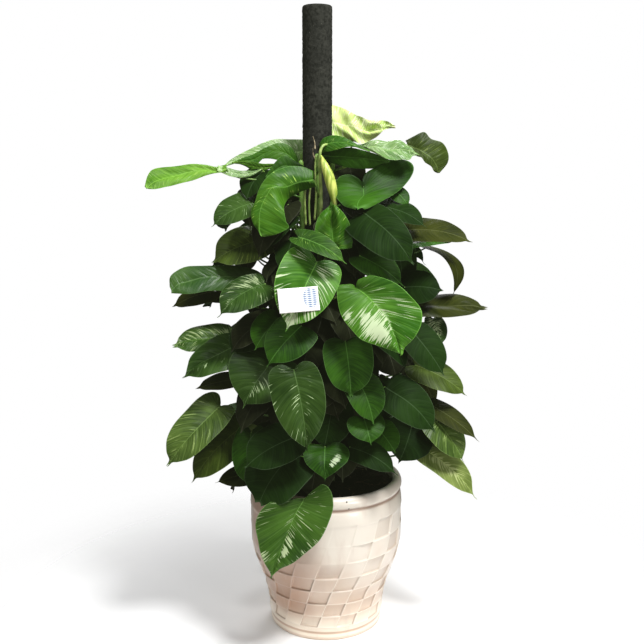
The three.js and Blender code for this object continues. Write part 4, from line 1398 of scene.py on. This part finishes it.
def blade_material(look):
    deep, light, streak_and_glint, amount, roughness, gloss, ribs, _, painted_joint_shade = LOOKS[look]
    deep, light, streak_and_glint = srgb(*deep), srgb(*light), srgb(*streak_and_glint)
    material, wire, shader = new_material(f"leaf_{look}", roughness)
    vein = wire.attribute("vein")
    own = wire.attribute("own")
    t, f, upper = (vein.part(k) for k in range(3))
    seed, across, tone = (own.part(k) for k in range(3))
    out = abs(f)
    half = f.curve("SIGN") * 3.0
    threads = wire.vector(t * 135.0, out * 1.3 + half, seed * 50.0).noise(1.0, 1.0)
    flecks = wire.vector(t * 30.0, out * 1.7 + half, seed * 60.0).noise(1.0, 1.0)
    fields = wire.vector(t * 2.6, f * 1.5, seed * 70.0).noise(1.0, 1.0)
    clouds = wire.place().noise(11.0, 3.0)
    body = (clouds * 0.7 + threads * 0.4).step(0.36, 0.74).mix(deep, light)
    count = t ** 0.8 * (2 * math.pi * VEIN_COUNT)
    line = count.curve("COSINE")
    level = (0.86 if amount else 0.94) - 0.45 * amount
    # Cream streaks along the side veins, which also stand in as painted glints of light on the
    # gloss.
    streaks = threads * 0.75 + flecks * 0.25 + fields * 0.3 + wire.attribute("cream", 2)

    def paler(gain, rise):
        return tuple(min(1, gain * c + rise) for c in light)

    # One tint over another: how much of it, and its colour.
    tints = [
        (line.step(0.86, 1.0) * (0.28 if amount else 0.12), tuple(1.3 * c + 0.02 for c in light)),
        # painted shade: darker round the joint, where the leaves above shade the blade
        (t.step(0.65, 0.05) * painted_joint_shade, tuple(0.3 * c for c in deep)),
        # cream streaks and painted glints
        (streaks.step(level, level + 0.05) * 0.85, streak_and_glint),
        (t.step(0.92, 0.99) * 0.6, paler(1.8, 0.04)),
        ((abs(across) * (0.5 + t)).step(1.5, 0.6) * 0.6, paler(1.7, 0.03)),
        (out.step(0.97, 0.995) * 0.45, paler(1.9, 0.06)),
    ]
    for much, tint in tints:
        body = much.mix(body, tint)
    tint = wire.make("ShaderNodeCombineColor", {}, {0: tone, 1: tone, 2: tone})
    body = wire.make("ShaderNodeMix", {"data_type": "RGBA", "blend_type": "MULTIPLY"},
                     {0: 1.0, 6: body, 7: tint}, 2)
    underside = tuple(0.55 * a + 0.45 * b + 0.012 for a, b in zip(deep, light))
    shader["Specular IOR Level"].default_value = gloss
    upper.mix(underside, body).into(shader["Base Color"])
    (upper * -0.15 + (clouds * 0.12 + (roughness + 0.09))).into(shader["Roughness"])
    relief = threads * 0.2 + flecks - line.step(0.6, 1.0) * 0.15
    relief.bump(0.8, ribs * MM).into(shader["Normal"])
    return material


BLADES = {look: blade_material(look) for look in LOOKS}
STALK = grained_material("leaf_stalk", 0.42, 60.0, (0.35, 0.7), (70, 108, 38), (118, 154, 66))


def leaf_object(name, leaf, grid):
    """One leaf: its blade and its stalk."""
    blade, faces, vein, across, cream = blade_mesh(leaf, grid)
    radii = np.linspace(*STALK_RADII, STALK_STEPS)
    stalk, stalk_faces = tube(stalk_curve(leaf), radii, STALK_SIDES)
    slots = [0] * len(faces) + [1] * len(stalk_faces)
    faces = faces + [tuple(len(blade) + n for n in face) for face in stalk_faces]
    piece = mesh_object(name, np.concatenate([blade, stalk]), faces, BLADES[leaf.look])
    piece.data.materials.append(STALK)
    piece.data.polygons.foreach_set("material_index", slots)
    own = np.stack([np.full(len(blade), leaf.seed), across, np.full(len(blade), leaf.tone)], -1)
    plain = np.zeros((len(stalk), 3))
    mark(piece, vein=np.concatenate([vein, plain]), own=np.concatenate([own, plain]),
         cream=np.concatenate([cream, plain[:, 0]]))
    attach(piece, "root")
    return piece


def outward_leaf(name, angle, reach, height, droop, yaw, length, width, rise, look,
                 lift=BACK_LIFT):
    """A leaf that hangs outwards from the pole."""
    joint = bearing(angle) * reach + np.array((POLE_X, 0, height))
    run = bearing(angle + yaw) * length * math.cos(math.radians(droop))
    run[2] = -length * math.sin(math.radians(droop))
    return Leaf(name, joint, joint + run, width, angle, lift, look, BACK_ARCH, BACK_FOLD, rise)


BACK_LOOKS = ("green", "dark", "streaked", "green", "marbled", "green", "dark")
grown = [(Leaf(*row), row[0] + "_blade", row[0]) for row in LEAVES]
grown += [(Leaf(*row), row[0] + "_leaf", None) for row in MORE_LEAVES]
for number, row in enumerate(BACK_LEAVES, 1):
    node = f"leaf_back_{number}"
    leaf = outward_leaf(node, *row, BACK_LOOKS[number % len(BACK_LOOKS)])
    grown.append((leaf, node + "_blade", node))
for leaf, name, node in grown:
    piece = leaf_object(name, leaf, LEAF_GRID if node else SMALL_LEAF_GRID)
    if node:
        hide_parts(node)


# ---- Inner leaves ----------------------------------------------------------------------------
# Older leaves close to the pole and more at the flanks and back, which fill the plant so that
# one hardly sees through it. They are dealt out by chance, each where its blade cuts through no
# other, nor through the pot or the soil.

# Inner leaves in the shade look are painted shade.
# count, bearings, reach, heights, droop, length, looks
THICKETS = [
    (64, (-75, 75), (48, 105), (420, 1075), (35, 75), (105, 140), ("shade",)),
    (40, (35, 95), (80, 165), (540, 880), (35, 70), (95, 130), ("shade", "dark")),
    (40, (265, 325), (80, 165), (500, 880), (35, 70), (95, 130), ("shade", "dark")),
    (20, (30, 95), (65, 115), (880, 1040), (35, 65), (80, 105), ("shade", "dark")),
    (20, (265, 330), (65, 115), (880, 1050), (35, 65), (80, 105), ("shade", "dark")),
    (58, (95, 265), (55, 140), (420, 1120), (25, 65), (120, 155), ("shade", "dark", "green")),
    (44, (105, 255), (150, 215), (440, 1050), (25, 55), (125, 155), ("green", "dark", "streaked")),
]
INNER_YAWS = (-35, 35)
INNER_WIDTHS = (0.74, 0.88)  # as parts of the length
INNER_RISE = 45
INNER_LIFTS = (20, 50)
INNER_GRID = (22, 6)
TRIES = 14
# Small gaps that show the light behind, and places beside the plant that stay empty: across and
# in height beside the pole, and where one sees them from.
GAPS = [(-143, 911), (90, 1122), (90, 1104), (-89, 639), (-46, 1057), (-46, 1028),
        (-46, 1000), (-31, 1042), (-32, 1009), (-293, 971), (-283, 985),
        (-304, 918), (-287, 944), (-290, 995), (-277, 937), (-266, 784)]
CHECK_GRID = (12, 4)


def blade_tree(leaf):
    """A coarse blade, for finding out what cuts through it."""
    upper = blade_grid(leaf, *CHECK_GRID)[0]
    rows, columns = upper.shape[:2]
    faces = sheet_faces(rows, columns)[:(rows - 1) * (columns - 1)]
    return BVHTree.FromPolygons(upper.reshape(-1, 3).tolist(), faces)


def fills_gap(tree):
    """Whether a leaf would stand in one of the gaps."""
    eye = np.array(CAMERA_PLACE, dtype=float)
    return any(tree.ray_cast(eye.tolist(), (np.array((x, 0, z)) - eye).tolist())[0]
               for x, z in GAPS)


def fill_in():
    """Deals out the inner leaves, thicket by thicket."""
    standing = [blade_tree(leaf) for leaf, _, _ in grown]
    standing += [BVHTree.FromPolygons(np.asarray(points).tolist(), faces)
                 for points, faces in ((pot_points, pot_faces), (soil_points, soil_faces))]
    for thicket, row in enumerate(THICKETS, 1):
        wanted, bearings, reaches, heights, droops, lengths, looks = row
        for number in range(wanted):
            name = f"inner_leaf_{thicket}_{number}"
            draw = random.Random(name)
            for _ in range(TRIES):
                length = draw.uniform(*lengths)
                leaf = outward_leaf(name, draw.uniform(*bearings), draw.uniform(*reaches),
                                    draw.uniform(*heights), draw.uniform(*droops),
                                    draw.uniform(*INNER_YAWS), length,
                                    length * draw.uniform(*INNER_WIDTHS), INNER_RISE,
                                    draw.choice(looks), draw.uniform(*INNER_LIFTS))
                tree = blade_tree(leaf)
                if not fills_gap(tree) and not any(tree.overlap(other) for other in standing):
                    standing.append(tree)
                    leaf_object(name, leaf, INNER_GRID)
                    break


fill_in()


# ---- New growth ------------------------------------------------------------------------------
# At the front of the pole stand the upright stalks of the youngest leaves, one leaf that is
# still rolled up, and the dry ends of two old leaf sheaths.

# name, points, radii
UPRIGHT_STALKS = [
    ("young_stalk_right", [(-13, -60, 1012), (-12, -62, 1060), (-14, -64, 1110), (-15, -64, 1160),
                           (-8, -58, 1182), (10, -40, 1186)], (4.4, 3.0)),
    ("young_stalk_left", [(-27, -60, 1012), (-24, -64, 1070), (-26, -64, 1130), (-24, -68, 1160)],
     (2.6, 1.6)),
    ("old_stalk_a", [(-48, -56, 1000), (-50, -60, 1060), (-46, -62, 1108)], (3.0, 2.2)),
    ("old_stalk_b", [(-38, -58, 1000), (-40, -62, 1050), (-36, -64, 1100)], (2.6, 2.0)),
]
ROLLED_LINE = [(-12, -72, 1160), (-4, -82, 1138), (6, -88, 1112), (14, -92, 1082), (19, -93, 1056),
               (22, -92, 1040)]
ROLLED_RADII = (2.0, 8.5, 12.0, 11.0, 6.0, 1.2)
ROLLED_STEPS = 40
ROLLED_SIDES = 18
SHEATH_LINES = [
    [(-24, -50, 1150), (-30, -48, 1162), (-31, -46, 1178)],
    [(-26, -52, 1175), (-27, -50, 1190), (-31, -49, 1204)],
]
SHEATH_RADII = (2.0, 0.5)
SHEATH_SIDES = 7
UPRIGHT_SIDES = 10
GROWTH_STEPS = 24


def rolled_material():
    material, wire, shader = new_material("rolled_leaf", 0.4)
    streaks = wire.place().stretched(150, 150, 25).noise(1.0, 3.0)
    colour = streaks.step(0.4, 0.62).mix(srgb(142, 168, 58), srgb(206, 216, 112))
    colour.into(shader["Base Color"])
    streaks.bump(0.4, 0.001).into(shader["Normal"])
    return material


YOUNG_STALK = grained_material("young_stalk", 0.4, 60.0, (0.35, 0.7),
                               (120, 150, 70), (172, 194, 110))
for name, points, radii in UPRIGHT_STALKS:
    line = spline(points, GROWTH_STEPS)
    radii = np.linspace(*radii, len(line))
    stalk = mesh_object(name, *tube(line, radii, UPRIGHT_SIDES), YOUNG_STALK)
    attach(stalk, "root")
line = spline(ROLLED_LINE, ROLLED_STEPS)
radii = spline(ROLLED_RADII, ROLLED_STEPS)
rolled = mesh_object("rolled_new_leaf", *tube(line, radii, ROLLED_SIDES), rolled_material())
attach(rolled, "root")
DRY_SHEATH = grained_material("dry_sheath", 0.75, 160.0, (0.3, 0.7),
                              (112, 100, 74), (176, 162, 128))
for number, points in enumerate(SHEATH_LINES, 1):
    line = spline(points, GROWTH_STEPS)
    radii = np.linspace(*SHEATH_RADII, len(line))
    sheath = mesh_object(f"dry_sheath_{number}", *tube(line, radii, SHEATH_SIDES), DRY_SHEATH)
    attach(sheath, "root")


# ---- Label card ------------------------------------------------------------------------------
# A white printed card, the size of a business card, that lies against one leaf. An oval of short
# blue dashes fills its right third.

CARD_SIZE = (90, 54, 0.5)
CARD_ALONG = 0.61  # the card's middle, from the blade's joint to its tip
CARD_ACROSS = 5
CARD_STAND = 6.9  # how far the card's middle stands off the blade
CARD_ROLL = math.radians(3)
CARD_BOW = 1.2
CARD_CELLS = (36, 22)
DASH_PITCH = (11, 4.6)
PRINT_PLACE = (27, 3)
PRINT_REACH = (17, 23)


def card_mesh():
    """The card's points and faces, then for each point: its place on the card and its side."""
    leaf = next(leaf for leaf, _, node in grown if node == "leaf_card")
    leaf.sweep = 0  # the card's place is counted from a straight midrib
    middle = leaf.surface(np.array(CARD_ALONG), np.array(CARD_ACROSS), CARD_STAND)
    level = unit(np.cross((0, 0, 1), leaf.face))
    rise = np.cross(leaf.face, level)
    across = level * math.cos(CARD_ROLL) + rise * math.sin(CARD_ROLL)
    up = rise * math.cos(CARD_ROLL) - level * math.sin(CARD_ROLL)
    wide, high = CARD_CELLS
    points, print_place = [], []
    for face in (1, -1):
        for row in range(high + 1):
            for column in range(wide + 1):
                x = (column / wide - 0.5) * CARD_SIZE[0]
                y = (row / high - 0.5) * CARD_SIZE[1]
                out = face * CARD_SIZE[2] / 2 + CARD_BOW * ((2 * x / CARD_SIZE[0]) ** 2 - 0.3)
                points.append(middle + across * x + up * y + leaf.face * out)
                print_place.append((x, y, face))
    return points, sheet_faces(high + 1, wide + 1), np.array(print_place, dtype=float)


def card_material():
    material, wire, shader = new_material("printed_card", 0.35)
    spot = wire.attribute("print_place")
    x, y, front = (spot.part(k) for k in range(3))
    fibre = wire.place().noise(400.0, 2.0)
    board = fibre.step(0.2, 0.8).mix(srgb(246, 245, 240), srgb(253, 253, 250))
    over = (x - PRINT_PLACE[0]) * (1 / PRINT_REACH[0])
    aloft = (y - PRINT_PLACE[1]) * (1 / PRINT_REACH[1])
    inside = (over * over + aloft * aloft).step(1.1, 0.8) * front.step(0.0, 0.5)
    tinted = (inside * 0.35).mix(board, srgb(170, 202, 232))
    turn_x, turn_y = (2 * math.pi / pitch for pitch in DASH_PITCH)
    waves = (x * turn_x).curve("SINE") * 0.6 + (y * turn_y).curve("SINE")
    dashes = (waves + fibre * 0.3).step(0.35, 0.85) * inside
    (dashes * 0.9).mix(tinted, srgb(48, 88, 150)).into(shader["Base Color"])
    fibre.bump(0.15, 0.0002).into(shader["Normal"])
    return material


card_points, card_faces, card_places = card_mesh()
card = mesh_object("blank_label_card", card_points, card_faces, card_material())
mark(card, print_place=card_places)
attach(card, "root")
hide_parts("label_card")
